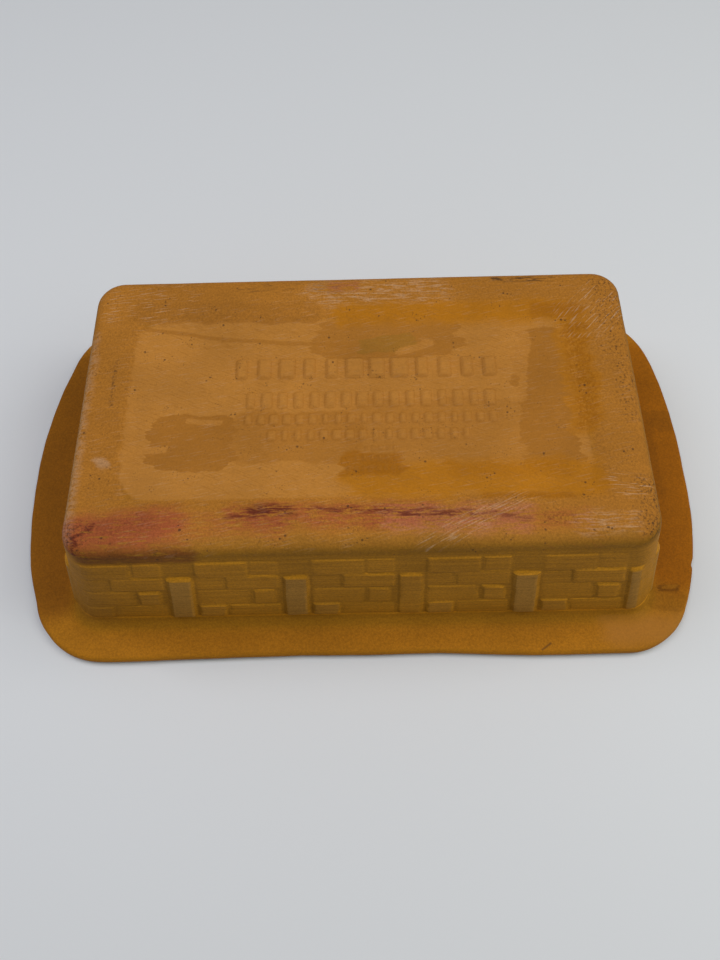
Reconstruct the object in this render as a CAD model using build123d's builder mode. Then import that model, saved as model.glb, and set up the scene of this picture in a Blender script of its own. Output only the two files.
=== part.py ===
"""Covered clay baker: a baking dish turned over on its rim, with its lid standing inside it.

The dish stands upside down, which is how it dries and is stored, so its foot is uppermost at Z = DISH_HEIGHT.
The lid stands the right way up on the same surface, in the seat that it also drops into in use.
Millimetres. +Z is up, +X runs along the dish, and the origin is at the middle of the rim plane.
"""

import os
from math import atan, cos, sin

from build123d import *

# ---- driving dimensions: dish -------------------------------------------------------------------
DISH_HEIGHT = 90.0
RIM_LENGTH = 390.0  # over the two handle ends
RIM_WIDTH = 220.0
RIM_THICKNESS = 7.0
RIM_END_RADIUS = 280.0  # the bowed handle ends
RIM_CORNER_RADIUS = 42.0
RIM_EDGE_RADIUS = 2.5

BODY_LENGTH = 320.0  # outside of the walls, carried down to the rim plane
BODY_WIDTH = 183.0
FOOT_LENGTH = 279.0  # outside of the walls at the foot, before its edge is rounded
FOOT_WIDTH = 155.0
BODY_CORNER_RADIUS = 14.0
FOOT_EDGE_RADIUS = 7.0
RIM_ROOT_RADIUS = 8.0  # the hollow where the wall runs out into the rim

WALL = 8.0
FLOOR = 10.0
INNER_CORNER_RADIUS = 15.0
INNER_FLOOR_RADIUS = 12.0

PANEL_INSET = 24.0  # width of the foot band around the sunk panel
PANEL_DEPTH = 2.0
PANEL_SLOPE = 5.0  # how far the panel's soft edge runs inwards
PANEL_CORNER_RADIUS = 13.0

SEAT_LENGTH = 314.0  # the ledge inside the rim that carries the lid
SEAT_WIDTH = 178.0
SEAT_DEPTH = 5.0
SEAT_CORNER_RADIUS = 14.0

# ---- driving dimensions: the raised stones on the walls ----------------------------------------
STONE_PROUD = 1.2
STONE_SINK = 1.0  # how far a stone is rooted in the wall
STONE_RADIUS = 1.5
STONE_PITCH = 58.0  # the pattern repeats along a wall
SIDE_FIRST_PIER = -94.0  # centre of the first tall stone on a long wall
SIDE_PIER_COUNT = 4
END_FIRST_PIER = -52.0
END_PIER_COUNT = 2
PIER_WIDTH = 14.0  # the tall stones
PIER_BOTTOM = 15.5
PIER_TOP = 62.0
CHOCK_STEP = 41.0  # from a tall stone's centre to the small one's
CHOCK_WIDTH = 12.0
CHOCK_BOTTOM = 30.0
CHOCK_TOP = 48.5
LINTEL_STEP = 21.0  # and to that of the wide one above
LINTEL_WIDTH = 27.0
LINTEL_BOTTOM = 64.0
LINTEL_TOP = 78.0

# ---- driving dimensions: lid --------------------------------------------------------------------
LID_FIT = 1.5  # play between the lid's rim and the seat, all round
LID_RIM_THICKNESS = 4.5
LID_RIM_EDGE_RADIUS = 1.5
LID_SKIRT_LENGTH = 302.0  # outside of the dome, carried down to the rim plane
LID_SKIRT_WIDTH = 168.0
LID_CROWN_LENGTH = 234.0  # outside of the dome at its top
LID_CROWN_WIDTH = 104.0
LID_CROWN_HEIGHT = 38.0
LID_CORNER_RADIUS = 16.0
LID_CROWN_EDGE_RADIUS = 13.0
LID_ROOT_RADIUS = 4.0
LID_WALL = 7.0
LID_MOUTH_LENGTH = 286.0  # the hollow under the dome, at the rim plane and at its top
LID_MOUTH_WIDTH = 152.0
LID_HOLLOW_TOP_LENGTH = 227.0
LID_HOLLOW_TOP_WIDTH = 97.0
LID_HOLLOW_CORNER_RADIUS = 10.0
LID_HOLLOW_EDGE_RADIUS = 9.0
GRIP_LENGTH = 104.0
GRIP_WIDTH = 26.0
GRIP_WAIST_LENGTH = 88.0
GRIP_WAIST_WIDTH = 16.0
GRIP_HEIGHT = 21.0
GRIP_ROOT_SINK = 3.0
GRIP_EDGE_RADIUS = 5.0

# ---- worked out ----------------------------------------------------------------------------------
INNER_TOP = DISH_HEIGHT - FLOOR
END_SLOPE = (BODY_LENGTH - FOOT_LENGTH) / 2 / DISH_HEIGHT  # run per unit of rise
SIDE_SLOPE = (BODY_WIDTH - FOOT_WIDTH) / 2 / DISH_HEIGHT
SIDE_PIERS = [SIDE_FIRST_PIER + STONE_PITCH * place for place in range(SIDE_PIER_COUNT)]
END_PIERS = [END_FIRST_PIER + STONE_PITCH * place for place in range(END_PIER_COUNT)]
STONES = (  # step from the tall stone's centre, width, bottom and top
    (0.0, PIER_WIDTH, PIER_BOTTOM, PIER_TOP),
    (CHOCK_STEP, CHOCK_WIDTH, CHOCK_BOTTOM, CHOCK_TOP),
    (LINTEL_STEP, LINTEL_WIDTH, LINTEL_BOTTOM, LINTEL_TOP),
)

os.makedirs("parts", exist_ok=True)


def side_plane(sign: int) -> Plane:
    """The outside of a long wall, -1 for the front one: X runs along the wall and Y up its slope from the rim plane."""
    lean = atan(SIDE_SLOPE)
    return Plane(
        origin=(0, sign * BODY_WIDTH / 2, 0), x_dir=(-sign, 0, 0), z_dir=(0, sign * cos(lean), sin(lean))
    )


def end_plane(sign: int) -> Plane:
    """The outside of an end wall, -1 for the left one: X runs along the wall and Y up its slope from the rim plane."""
    lean = atan(END_SLOPE)
    return Plane(
        origin=(sign * BODY_LENGTH / 2, 0, 0), x_dir=(0, sign, 0), z_dir=(sign * cos(lean), 0, sin(lean))
    )


# ---- the plan outline of the rim, with its bowed handle ends ---------------------------------------
with BuildSketch() as rim_outline:
    Rectangle(RIM_LENGTH, RIM_WIDTH)
    for end in (-1, 1):
        with Locations((end * (RIM_LENGTH / 2 - RIM_END_RADIUS), 0)):
            Circle(RIM_END_RADIUS, mode=Mode.INTERSECT)
    fillet(rim_outline.vertices(), RIM_CORNER_RADIUS)

# ---- the space inside the dish ---------------------------------------------------------------------
with BuildPart() as dish_hollow:
    with BuildSketch(Plane.XY):
        RectangleRounded(BODY_LENGTH - 2 * WALL, BODY_WIDTH - 2 * WALL, INNER_CORNER_RADIUS)
    with BuildSketch(Plane.XY.offset(INNER_TOP)):
        RectangleRounded(
            FOOT_LENGTH + 2 * FLOOR * END_SLOPE - 2 * WALL,
            FOOT_WIDTH + 2 * FLOOR * SIDE_SLOPE - 2 * WALL,
            INNER_CORNER_RADIUS,
        )
    loft()
    fillet(dish_hollow.faces().sort_by(Axis.Z)[-1].edges(), INNER_FLOOR_RADIUS)

# ---- the baking dish ---------------------------------------------------------------------------------
with BuildPart() as baking_dish:
    with BuildSketch(Plane.XY):
        RectangleRounded(BODY_LENGTH, BODY_WIDTH, BODY_CORNER_RADIUS)
    with BuildSketch(Plane.XY.offset(DISH_HEIGHT)):
        RectangleRounded(FOOT_LENGTH, FOOT_WIDTH, BODY_CORNER_RADIUS)
    loft()
    fillet(baking_dish.faces().sort_by(Axis.Z)[-1].edges(), FOOT_EDGE_RADIUS)

    # the rim and its handle ends
    add(rim_outline.sketch)
    extrude(amount=RIM_THICKNESS)
    rim_upper_face = baking_dish.faces().filter_by(Plane.XY).group_by(Axis.Z)[1].sort_by(SortBy.AREA)[-1]
    fillet(rim_upper_face.inner_wires()[0].edges(), RIM_ROOT_RADIUS)
    rim_upper_face = baking_dish.faces().filter_by(Plane.XY).group_by(Axis.Z)[1].sort_by(SortBy.AREA)[-1]
    rim_under_face = baking_dish.faces().filter_by(Plane.XY).group_by(Axis.Z)[0][0]
    fillet(rim_upper_face.outer_wire().edges() + rim_under_face.outer_wire().edges(), RIM_EDGE_RADIUS)

    # the sunk panel in the underside, inside the foot band
    with BuildSketch(Plane.XY.offset(DISH_HEIGHT)):
        RectangleRounded(
            FOOT_LENGTH - 2 * PANEL_INSET, FOOT_WIDTH - 2 * PANEL_INSET, PANEL_CORNER_RADIUS
        )
    with BuildSketch(Plane.XY.offset(DISH_HEIGHT - PANEL_DEPTH)):
        RectangleRounded(
            FOOT_LENGTH - 2 * (PANEL_INSET + PANEL_SLOPE),
            FOOT_WIDTH - 2 * (PANEL_INSET + PANEL_SLOPE),
            PANEL_CORNER_RADIUS - PANEL_SLOPE,
        )
    loft(mode=Mode.SUBTRACT)

    # the raised stones on all four walls
    for wall, piers, slope in (
        (side_plane(-1), SIDE_PIERS, SIDE_SLOPE),
        (side_plane(1), SIDE_PIERS, SIDE_SLOPE),
        (end_plane(-1), END_PIERS, END_SLOPE),
        (end_plane(1), END_PIERS, END_SLOPE),
    ):
        stretch = 1 / cos(atan(slope))  # length up the slope per unit of height
        with BuildSketch(wall.offset(-STONE_SINK)):
            for pier in piers:
                for step, width, bottom, top in STONES:
                    with Locations((pier + step, (bottom + top) / 2 * stretch)):
                        RectangleRounded(width, (top - bottom) * stretch, STONE_RADIUS)
        extrude(amount=STONE_SINK + STONE_PROUD)

    # the hollow, and the seat for the lid
    add(dish_hollow.part, mode=Mode.SUBTRACT)
    with BuildSketch(Plane.XY):
        RectangleRounded(SEAT_LENGTH, SEAT_WIDTH, SEAT_CORNER_RADIUS)
    extrude(amount=SEAT_DEPTH, mode=Mode.SUBTRACT)

# ---- the lid's finger grip, waisted so that it can be held in one hand -------------------------------
with BuildPart() as grip:
    with BuildSketch(Plane.XY.offset(LID_CROWN_HEIGHT - GRIP_ROOT_SINK)):
        SlotOverall(GRIP_WAIST_LENGTH, GRIP_WAIST_WIDTH)
    with BuildSketch(Plane.XY.offset(LID_CROWN_HEIGHT + GRIP_HEIGHT)):
        SlotOverall(GRIP_LENGTH, GRIP_WIDTH)
    loft()
    fillet(grip.faces().sort_by(Axis.Z)[-1].edges(), GRIP_EDGE_RADIUS)

# ---- the space under the lid ---------------------------------------------------------------------------
with BuildPart() as lid_hollow:
    with BuildSketch(Plane.XY):
        RectangleRounded(LID_MOUTH_LENGTH, LID_MOUTH_WIDTH, LID_HOLLOW_CORNER_RADIUS)
    with BuildSketch(Plane.XY.offset(LID_CROWN_HEIGHT - LID_WALL)):
        RectangleRounded(LID_HOLLOW_TOP_LENGTH, LID_HOLLOW_TOP_WIDTH, LID_HOLLOW_CORNER_RADIUS)
    loft()
    fillet(lid_hollow.faces().sort_by(Axis.Z)[-1].edges(), LID_HOLLOW_EDGE_RADIUS)

# ---- the lid -----------------------------------------------------------------------------------------
with BuildPart() as lid:
    with BuildSketch(Plane.XY):
        RectangleRounded(LID_SKIRT_LENGTH, LID_SKIRT_WIDTH, LID_CORNER_RADIUS)
    with BuildSketch(Plane.XY.offset(LID_CROWN_HEIGHT)):
        RectangleRounded(LID_CROWN_LENGTH, LID_CROWN_WIDTH, LID_CORNER_RADIUS)
    loft()
    fillet(lid.faces().sort_by(Axis.Z)[-1].edges(), LID_CROWN_EDGE_RADIUS)
    with BuildSketch(Plane.XY):
        RectangleRounded(
            SEAT_LENGTH - 2 * LID_FIT, SEAT_WIDTH - 2 * LID_FIT, SEAT_CORNER_RADIUS - LID_FIT
        )
    extrude(amount=LID_RIM_THICKNESS)
    lid_rim_upper_face = lid.faces().filter_by(Plane.XY).group_by(Axis.Z)[1].sort_by(SortBy.AREA)[-1]
    fillet(lid_rim_upper_face.inner_wires()[0].edges(), LID_ROOT_RADIUS)
    lid_rim_upper_face = lid.faces().filter_by(Plane.XY).group_by(Axis.Z)[1].sort_by(SortBy.AREA)[-1]
    fillet(lid_rim_upper_face.outer_wire().edges(), LID_RIM_EDGE_RADIUS)
    add(grip.part)
    add(lid_hollow.part, mode=Mode.SUBTRACT)

for piece, name in ((baking_dish, "baking_dish"), (lid, "lid")):
    piece.part.label = name
    export_step(piece.part, f"parts/{name}.step")
    print(name, "solids", len(piece.part.solids()), "volume_cm3", round(piece.part.volume / 1000, 1))
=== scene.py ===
"""Looks of a covered clay baker: the upturned baking dish, the lid under it, and the studio they stand in.

The objects are in metres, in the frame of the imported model: the rim plane is Z = 0 and +X runs along the
dish. The classes hold millimetres. Shapes are lofted ring by ring, the stones and the underside's ornament
are raised by geometry nodes, and every finish is procedural.
"""

from __future__ import annotations

import logging
import math
from collections.abc import Iterable, Sequence
from dataclasses import dataclass, field
from enum import Enum

import bpy
import numpy as np
from mathutils import Euler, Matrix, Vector


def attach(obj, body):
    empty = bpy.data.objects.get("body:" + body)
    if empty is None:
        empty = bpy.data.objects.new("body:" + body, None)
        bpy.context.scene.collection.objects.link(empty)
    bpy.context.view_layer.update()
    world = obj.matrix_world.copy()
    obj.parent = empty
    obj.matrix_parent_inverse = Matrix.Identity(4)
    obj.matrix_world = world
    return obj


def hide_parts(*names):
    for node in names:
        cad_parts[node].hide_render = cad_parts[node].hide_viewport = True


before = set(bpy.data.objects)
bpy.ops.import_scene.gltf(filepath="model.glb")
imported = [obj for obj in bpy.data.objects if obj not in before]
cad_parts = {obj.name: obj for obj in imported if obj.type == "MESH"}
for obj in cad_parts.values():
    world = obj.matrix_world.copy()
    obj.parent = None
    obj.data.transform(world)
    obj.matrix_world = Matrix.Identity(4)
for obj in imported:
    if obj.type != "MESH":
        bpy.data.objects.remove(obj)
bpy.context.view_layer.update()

MM = 0.001
LOG = logging.getLogger("clay_baker")
PER_MM = (1 / MM, 1 / MM, 1 / MM)
Colour = tuple[float, float, float]
Span = tuple[float, float]


# ---- node trees ----------------------------------------------------------------------------------


class Wire:
    """A value in a node tree. Plain arithmetic on it adds the nodes that work it out."""

    def __init__(self, tree: bpy.types.NodeTree, socket: bpy.types.NodeSocket) -> None:
        """Wrap an output socket of the tree."""
        self.tree = tree
        self.socket = socket

    def _math(self, operation: str, *operands: Wire | float) -> Wire:
        """Add one Math node.

        Args:
            operation: The node's operation.
            operands: Its inputs in order, as wires or numbers.

        Returns:
            The node's result.
        """
        node = self.tree.nodes.new("ShaderNodeMath")
        node.operation = operation
        for socket, operand in zip(node.inputs, operands):
            feed(self.tree, socket, operand)
        return Wire(self.tree, node.outputs[0])

    def __add__(self, other: Wire | float) -> Wire:
        """Sum of two values."""
        return self._math("ADD", self, other)

    def __sub__(self, other: Wire | float) -> Wire:
        """Difference of two values."""
        return self._math("SUBTRACT", self, other)

    def __rsub__(self, other: float) -> Wire:
        """Difference of a number and this value."""
        return self._math("SUBTRACT", other, self)

    def __mul__(self, other: Wire | float) -> Wire:
        """Product of two values."""
        return self._math("MULTIPLY", self, other)

    def __truediv__(self, other: Wire | float) -> Wire:
        """Quotient of two values."""
        return self._math("DIVIDE", self, other)

    def most(self, other: Wire | float) -> Wire:
        """The larger of two values."""
        return self._math("MAXIMUM", self, other)

    def least(self, other: Wire | float) -> Wire:
        """The smaller of two values."""
        return self._math("MINIMUM", self, other)

    def size(self) -> Wire:
        """The value without its sign."""
        return self._math("ABSOLUTE", self)

    def root(self) -> Wire:
        """The value's square root."""
        return self._math("SQRT", self)

    def whole(self) -> Wire:
        """The value rounded down."""
        return self._math("FLOOR", self)

    def wrap(self, period: Wire | float) -> Wire:
        """The value's place within a repeating period that starts at 0."""
        return self._math("WRAP", self, period, 0.0)

    def step(self, low: Wire | float, high: Wire | float) -> Wire:
        """A soft step over the value.

        Args:
            low: Where the step is 0.
            high: Where it is 1. With low above high it falls instead.

        Returns:
            The step, from 0 to 1.
        """
        node = self.tree.nodes.new("ShaderNodeMapRange")
        node.interpolation_type = "SMOOTHSTEP"
        for name, value in (("Value", self), ("From Min", low), ("From Max", high)):
            feed(self.tree, node.inputs[name], value)
        return Wire(self.tree, node.outputs[0])

    def within(self, rise: Span, fall: Span) -> Wire:
        """A soft band over the value: up from 0 to 1 over the first span, down again over the second."""
        return self.step(*rise) * self.step(*fall)


def feed(tree: bpy.types.NodeTree, socket: bpy.types.NodeSocket, value: object) -> None:
    """Link a wire to a socket, or set a plain value on it.

    Args:
        tree: The tree that holds the socket.
        socket: The input socket.
        value: A wire, a socket, or a value that the socket takes.
    """
    if isinstance(value, Wire):
        tree.links.new(value.socket, socket)
    elif isinstance(value, bpy.types.NodeSocket):
        tree.links.new(value, socket)
    else:
        socket.default_value = value


def add_node(
    tree: bpy.types.NodeTree, kind: str, inputs: dict[str, object] | None = None, **settings: object
) -> bpy.types.Node:
    """Add a node with its settings and inputs.

    Args:
        tree: The tree to add it to.
        kind: The node's type.
        inputs: Values or wires by socket name.
        settings: The node's own properties.

    Returns:
        The node.
    """
    node = tree.nodes.new(kind)
    for name, value in settings.items():
        setattr(node, name, value)
    for name, value in (inputs or {}).items():
        feed(tree, node.inputs[name], value)
    return node


def new_group(
    kind: str, name: str, inputs: Sequence[tuple], outputs: Sequence[tuple]
) -> tuple[bpy.types.NodeTree, dict[str, Wire], bpy.types.Node]:
    """Start a node group with a named interface.

    Args:
        kind: ShaderNodeTree or GeometryNodeTree.
        name: The group's name.
        inputs: (name, socket kind, default or None) of each input.
        outputs: (name, socket kind) of each output.

    Returns:
        The group, a dictionary of its input wires, and its output node.
    """
    group = bpy.data.node_groups.new(name, kind)
    for label, socket_kind, value in inputs:
        kind_name = f"NodeSocket{socket_kind}"
        socket = group.interface.new_socket(name=label, in_out="INPUT", socket_type=kind_name)
        if value is not None:
            socket.default_value = value
    for label, socket_kind in outputs:
        group.interface.new_socket(name=label, in_out="OUTPUT", socket_type=f"NodeSocket{socket_kind}")
    source = group.nodes.new("NodeGroupInput")
    wires = {label: Wire(group, source.outputs[label]) for label, _, _ in inputs}
    return group, wires, group.nodes.new("NodeGroupOutput")


def use_group(
    tree: bpy.types.NodeTree, group: bpy.types.NodeTree, inputs: dict[str, object]
) -> bpy.types.Node:
    """Place a group in a tree.

    Args:
        tree: The tree to place it in.
        group: The group.
        inputs: Values or wires by input name.

    Returns:
        The group's node.
    """
    kind = "GeometryNodeGroup" if group.bl_idname == "GeometryNodeTree" else "ShaderNodeGroup"
    node = tree.nodes.new(kind)
    node.node_tree = group
    for name, value in inputs.items():
        feed(tree, node.inputs[name], value)
    return node


def group_value(tree: bpy.types.NodeTree, group: bpy.types.NodeTree, inputs: dict[str, object]) -> Wire:
    """Place a group in a tree, like use_group, and take its first output."""
    return Wire(tree, use_group(tree, group, inputs).outputs[0])


def noise(
    tree: bpy.types.NodeTree, vector: object, scale: float, detail: float = 2.0, rough: float = 0.5
) -> Wire:
    """Smooth noise from 0 to 1 over a place.

    Args:
        tree: The tree to add it to.
        vector: The place.
        scale: Lumps per unit of the place.
        detail: Octaves.
        rough: How strong the finer octaves are.

    Returns:
        The noise.
    """
    inputs = {"Vector": vector, "Scale": scale, "Detail": detail, "Roughness": rough}
    return Wire(tree, add_node(tree, "ShaderNodeTexNoise", inputs).outputs[0])


def chance(tree: bpy.types.NodeTree, seed: Wire) -> Wire:
    """Draw a number for each value of a seed.

    Args:
        tree: The tree to add it to.
        seed: The seed.

    Returns:
        The number.
    """
    node = add_node(tree, "ShaderNodeTexWhiteNoise", noise_dimensions="1D")
    feed(tree, node.inputs["W"], seed)
    return Wire(tree, node.outputs["Value"])


def vector_math(
    tree: bpy.types.NodeTree, operation: str, first: object, second: object
) -> bpy.types.NodeSocket:
    """A sum, a difference or a product of two places, axis by axis.

    Args:
        tree: The tree to add it to.
        operation: The node's operation.
        first: The first place.
        second: The second place.

    Returns:
        The new place's socket.
    """
    node = add_node(tree, "ShaderNodeVectorMath", operation=operation)
    feed(tree, node.inputs[0], first)
    feed(tree, node.inputs[1], second)
    return node.outputs[0]


def scaled(tree: bpy.types.NodeTree, vector: object, factor: Wire) -> bpy.types.NodeSocket:
    """A place or a colour times a number.

    Args:
        tree: The tree to add it to.
        vector: The place or the colour.
        factor: The number.

    Returns:
        The product's socket.
    """
    node = add_node(tree, "ShaderNodeVectorMath", {"Scale": factor}, operation="SCALE")
    feed(tree, node.inputs[0], vector)
    return node.outputs[0]


def stretched(
    tree: bpy.types.NodeTree, vector: object, stretch: tuple[float, float, float]
) -> bpy.types.NodeSocket:
    """A place scaled along its axes, by a factor along each."""
    return vector_math(tree, "MULTIPLY", vector, stretch)


def turned(tree: bpy.types.NodeTree, vector: object, turn: Wire) -> list[Wire]:
    """A place turned about Z.

    Args:
        tree: The tree to add it to.
        vector: The place.
        turn: The turn in radians.

    Returns:
        The new place's three parts.
    """
    node = add_node(
        tree, "ShaderNodeVectorRotate", {"Vector": vector, "Angle": turn}, rotation_type="Z_AXIS"
    )
    return parts(tree, node.outputs[0])


def parts(tree: bpy.types.NodeTree, vector: object) -> list[Wire]:
    """The three parts of a place."""
    split = add_node(tree, "ShaderNodeSeparateXYZ", {"Vector": vector})
    return [Wire(tree, socket) for socket in split.outputs]


# ---- lofted shapes -------------------------------------------------------------------------------


@dataclass(frozen=True)
class Outline:
    """A plan outline in millimetres: a rectangle with rounded corners, whose ends may be bowed."""

    half_length: float
    half_width: float
    corner: float
    bow: float = 0.0

    def grown(self, by: float) -> Outline:
        """The outline moved outwards by a distance, with its corners round the same centres."""
        bow = self.bow and self.bow + by
        return Outline(self.half_length + by, self.half_width + by, max(self.corner + by, 0.0), bow)

    def quarter(self) -> tuple[np.ndarray, np.ndarray]:
        """A quarter of the outline, parted at the middle of its corner.

        Returns:
            The dense run of points from the middle of the front to the middle of the corner, and the one
            from there to the middle of the end.
        """
        turn = np.linspace(-math.pi / 2, 0, 65)
        centre = np.array([self.half_length - self.corner, -self.half_width + self.corner])
        end = [[self.half_length, 0.0]]
        if self.bow:
            reach = self.bow - self.corner
            middle = self.half_length - self.bow
            lean = math.asin(centre[1] / reach)
            centre[0] = middle + reach * math.cos(lean)
            turn = np.linspace(-math.pi / 2, lean, 65)
            swing = np.linspace(lean, 0, 33)[1:]
            end = np.column_stack([middle + self.bow * np.cos(swing), self.bow * np.sin(swing)])
        arc = centre + self.corner * np.column_stack([np.cos(turn), np.sin(turn)])
        half = len(arc) // 2 + 1
        return np.vstack([[[0.0, -self.half_width]], arc[:half]]), np.vstack([arc[half - 1 :], end])

    def points(self, along: int, across: int) -> np.ndarray:
        """Points round the outline, anticlockwise from the middle of the front.

        Args:
            along: Steps along each long side, from corner to corner.
            across: Steps along each end.

        Returns:
            The points, 2 * (along + across) of them.
        """
        front, side = (respaced(run, count // 2) for run, count in zip(self.quarter(), (along, across)))
        right_front = np.vstack([front[:-1], side])
        right_back = right_front[-2::-1] * (1, -1)
        right = np.vstack([right_front, right_back])
        return np.vstack([right, right[-2:0:-1] * (-1, 1)])


def round_ended(half_length: float, half_width: float) -> Outline:
    """An outline whose ends are as good as half circles."""
    return Outline(half_length, half_width, half_width - 0.1)


def respaced(run: np.ndarray, steps: int) -> np.ndarray:
    """The same run of points with even spacing.

    Args:
        run: The points.
        steps: How many steps the new run has.

    Returns:
        The new points, steps + 1 of them.
    """
    gone = np.concatenate([[0.0], np.cumsum(np.linalg.norm(np.diff(run, axis=0), axis=1))])
    wanted = np.linspace(0.0, gone[-1], steps + 1)
    return np.column_stack([np.interp(wanted, gone, run[:, axis]) for axis in (0, 1)])


def blend_rings(first: np.ndarray, last: np.ndarray, shares: Iterable[float]) -> list[np.ndarray]:
    """Rings between two rings of 3D points, at the given shares of the way."""
    return [first + (last - first) * share for share in shares]


class Loft:
    """A closed surface made of matched rings, with a grid inside the first ring and inside the last."""

    def __init__(self, along: int, across: int) -> None:
        """Start with no rings.

        Args:
            along: Steps along each long side.
            across: Steps across each end.
        """
        self.along = along
        self.across = across
        self.first_steps = (along, across)
        self.rings: list[np.ndarray] = []
        self.outer: list[float] = []

    def halve(self) -> None:
        """Give the rings that follow half as many points."""
        self.along //= 2
        self.across //= 2

    def plan(self, outline: Outline, height: float) -> np.ndarray:
        """The points of an outline at a height, without adding them."""
        points = outline.points(self.along, self.across)
        return np.column_stack([points, np.full(len(points), height)])

    def ring(self, outline: Outline, height: float, outer: float = 1.0) -> np.ndarray:
        """Add a level ring.

        Args:
            outline: Its outline.
            height: Its height.
            outer: 1 on the side that shows, 0 on the inside.

        Returns:
            The ring's points.
        """
        return self.put(self.plan(outline, height), outer)

    def put(self, points: np.ndarray, outer: float = 1.0) -> np.ndarray:
        """Add a ring of points as they are.

        Args:
            points: The points.
            outer: 1 on the side that shows, 0 on the inside.

        Returns:
            The same points.
        """
        self.rings.append(points)
        self.outer.append(outer)
        return points

    def _between(self, start: int, count: int, after: int, following: int) -> list[tuple]:
        """The faces between two rings, of which the second may have half as many points.

        Args:
            start: The index of the first ring's first point.
            count: How many points it has.
            after: The index of the second ring's first point.
            following: How many points that has.

        Returns:
            The faces.
        """
        faces = []
        for i in range(following):
            j = (i + 1) % following
            if count == following:
                faces.append((start + i, after + i, after + j, start + j))
            else:
                faces.append((start + 2 * i, after + i, after + j, start + 2 * j, start + 2 * i + 1))
        return faces

    def _cap(
        self, ring: np.ndarray, first: int, steps: tuple[int, int], flip: bool
    ) -> tuple[np.ndarray, list[tuple]]:
        """A grid that fills a straight-sided ring.

        Args:
            ring: The ring's points.
            first: The index of its first point in the mesh.
            steps: The grid's steps along and across.
            flip: Whether the grid's faces look the other way.

        Returns:
            The grid's own inner points and its faces, with the inner points numbered from -1 downwards.
        """
        (along, across), count = steps, len(ring)
        corner = count - along // 2
        low, high = ring[:, :2].min(axis=0), ring[:, :2].max(axis=0)
        inner = [
            (low[0] + (high[0] - low[0]) * i / along, low[1] + (high[1] - low[1]) * j / across, ring[0, 2])
            for j in range(1, across)
            for i in range(1, along)
        ]

        def number(i: int, j: int) -> int:
            """Number one point of the grid.

            Args:
                i: The column.
                j: The row.

            Returns:
                The index, or the number from -1 downwards of an inner point.
            """
            if j == 0:
                return first + (corner + i) % count
            if i == along:
                return first + (corner + along + j) % count
            if j == across:
                return first + (corner + along + across + along - i) % count
            if i == 0:
                return first + (corner - j) % count
            return -1 - ((j - 1) * (along - 1) + i - 1)

        faces = []
        for j in range(across):
            for i in range(along):
                face = (number(i, j), number(i + 1, j), number(i + 1, j + 1), number(i, j + 1))
                faces.append(face[::-1] if flip else face)
        return np.array(inner), faces

    def mesh(self, name: str) -> bpy.types.Mesh:
        """The finished mesh in metres, with smooth faces and a float attribute "outer".

        Args:
            name: The mesh's name.

        Returns:
            The mesh.
        """
        counts = [len(ring) for ring in self.rings]
        starts = np.concatenate([[0], np.cumsum(counts)])
        points = np.vstack(self.rings)
        outer = np.repeat(self.outer, counts)
        faces = []
        for row in range(len(counts) - 1):
            faces += self._between(starts[row], counts[row], starts[row + 1], counts[row + 1])
        for row, steps, flip in ((0, self.first_steps, False), (-1, (self.along, self.across), True)):
            inner, cap = self._cap(self.rings[row], starts[row if row == 0 else -2], steps, flip)
            base = len(points)
            points = np.vstack([points, inner])
            outer = np.concatenate([outer, np.full(len(inner), self.outer[row])])
            faces += [tuple(base - 1 - v if v < 0 else v for v in face) for face in cap]
        mesh = bpy.data.meshes.new(name)
        mesh.from_pydata((points * MM).tolist(), [], faces)
        mesh.attributes.new("outer", "FLOAT", "POINT").data.foreach_set("value", outer)
        mesh.shade_smooth()
        return mesh


# ---- reliefs made by geometry nodes --------------------------------------------------------------


@dataclass(frozen=True)
class Measures:
    """Millimetre measures that feed a node group."""

    def inputs(self) -> dict[str, float]:
        """The measures by the names of the group's inputs."""
        return {name.replace("_", " ").capitalize(): value for name, value in vars(self).items()}


@dataclass(frozen=True)
class Stone(Measures):
    """One stone of the wall's pattern, placed from a tall stone's left edge and from the rim plane."""

    left: float
    right: float
    bottom: float
    top: float
    proud: float


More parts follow.
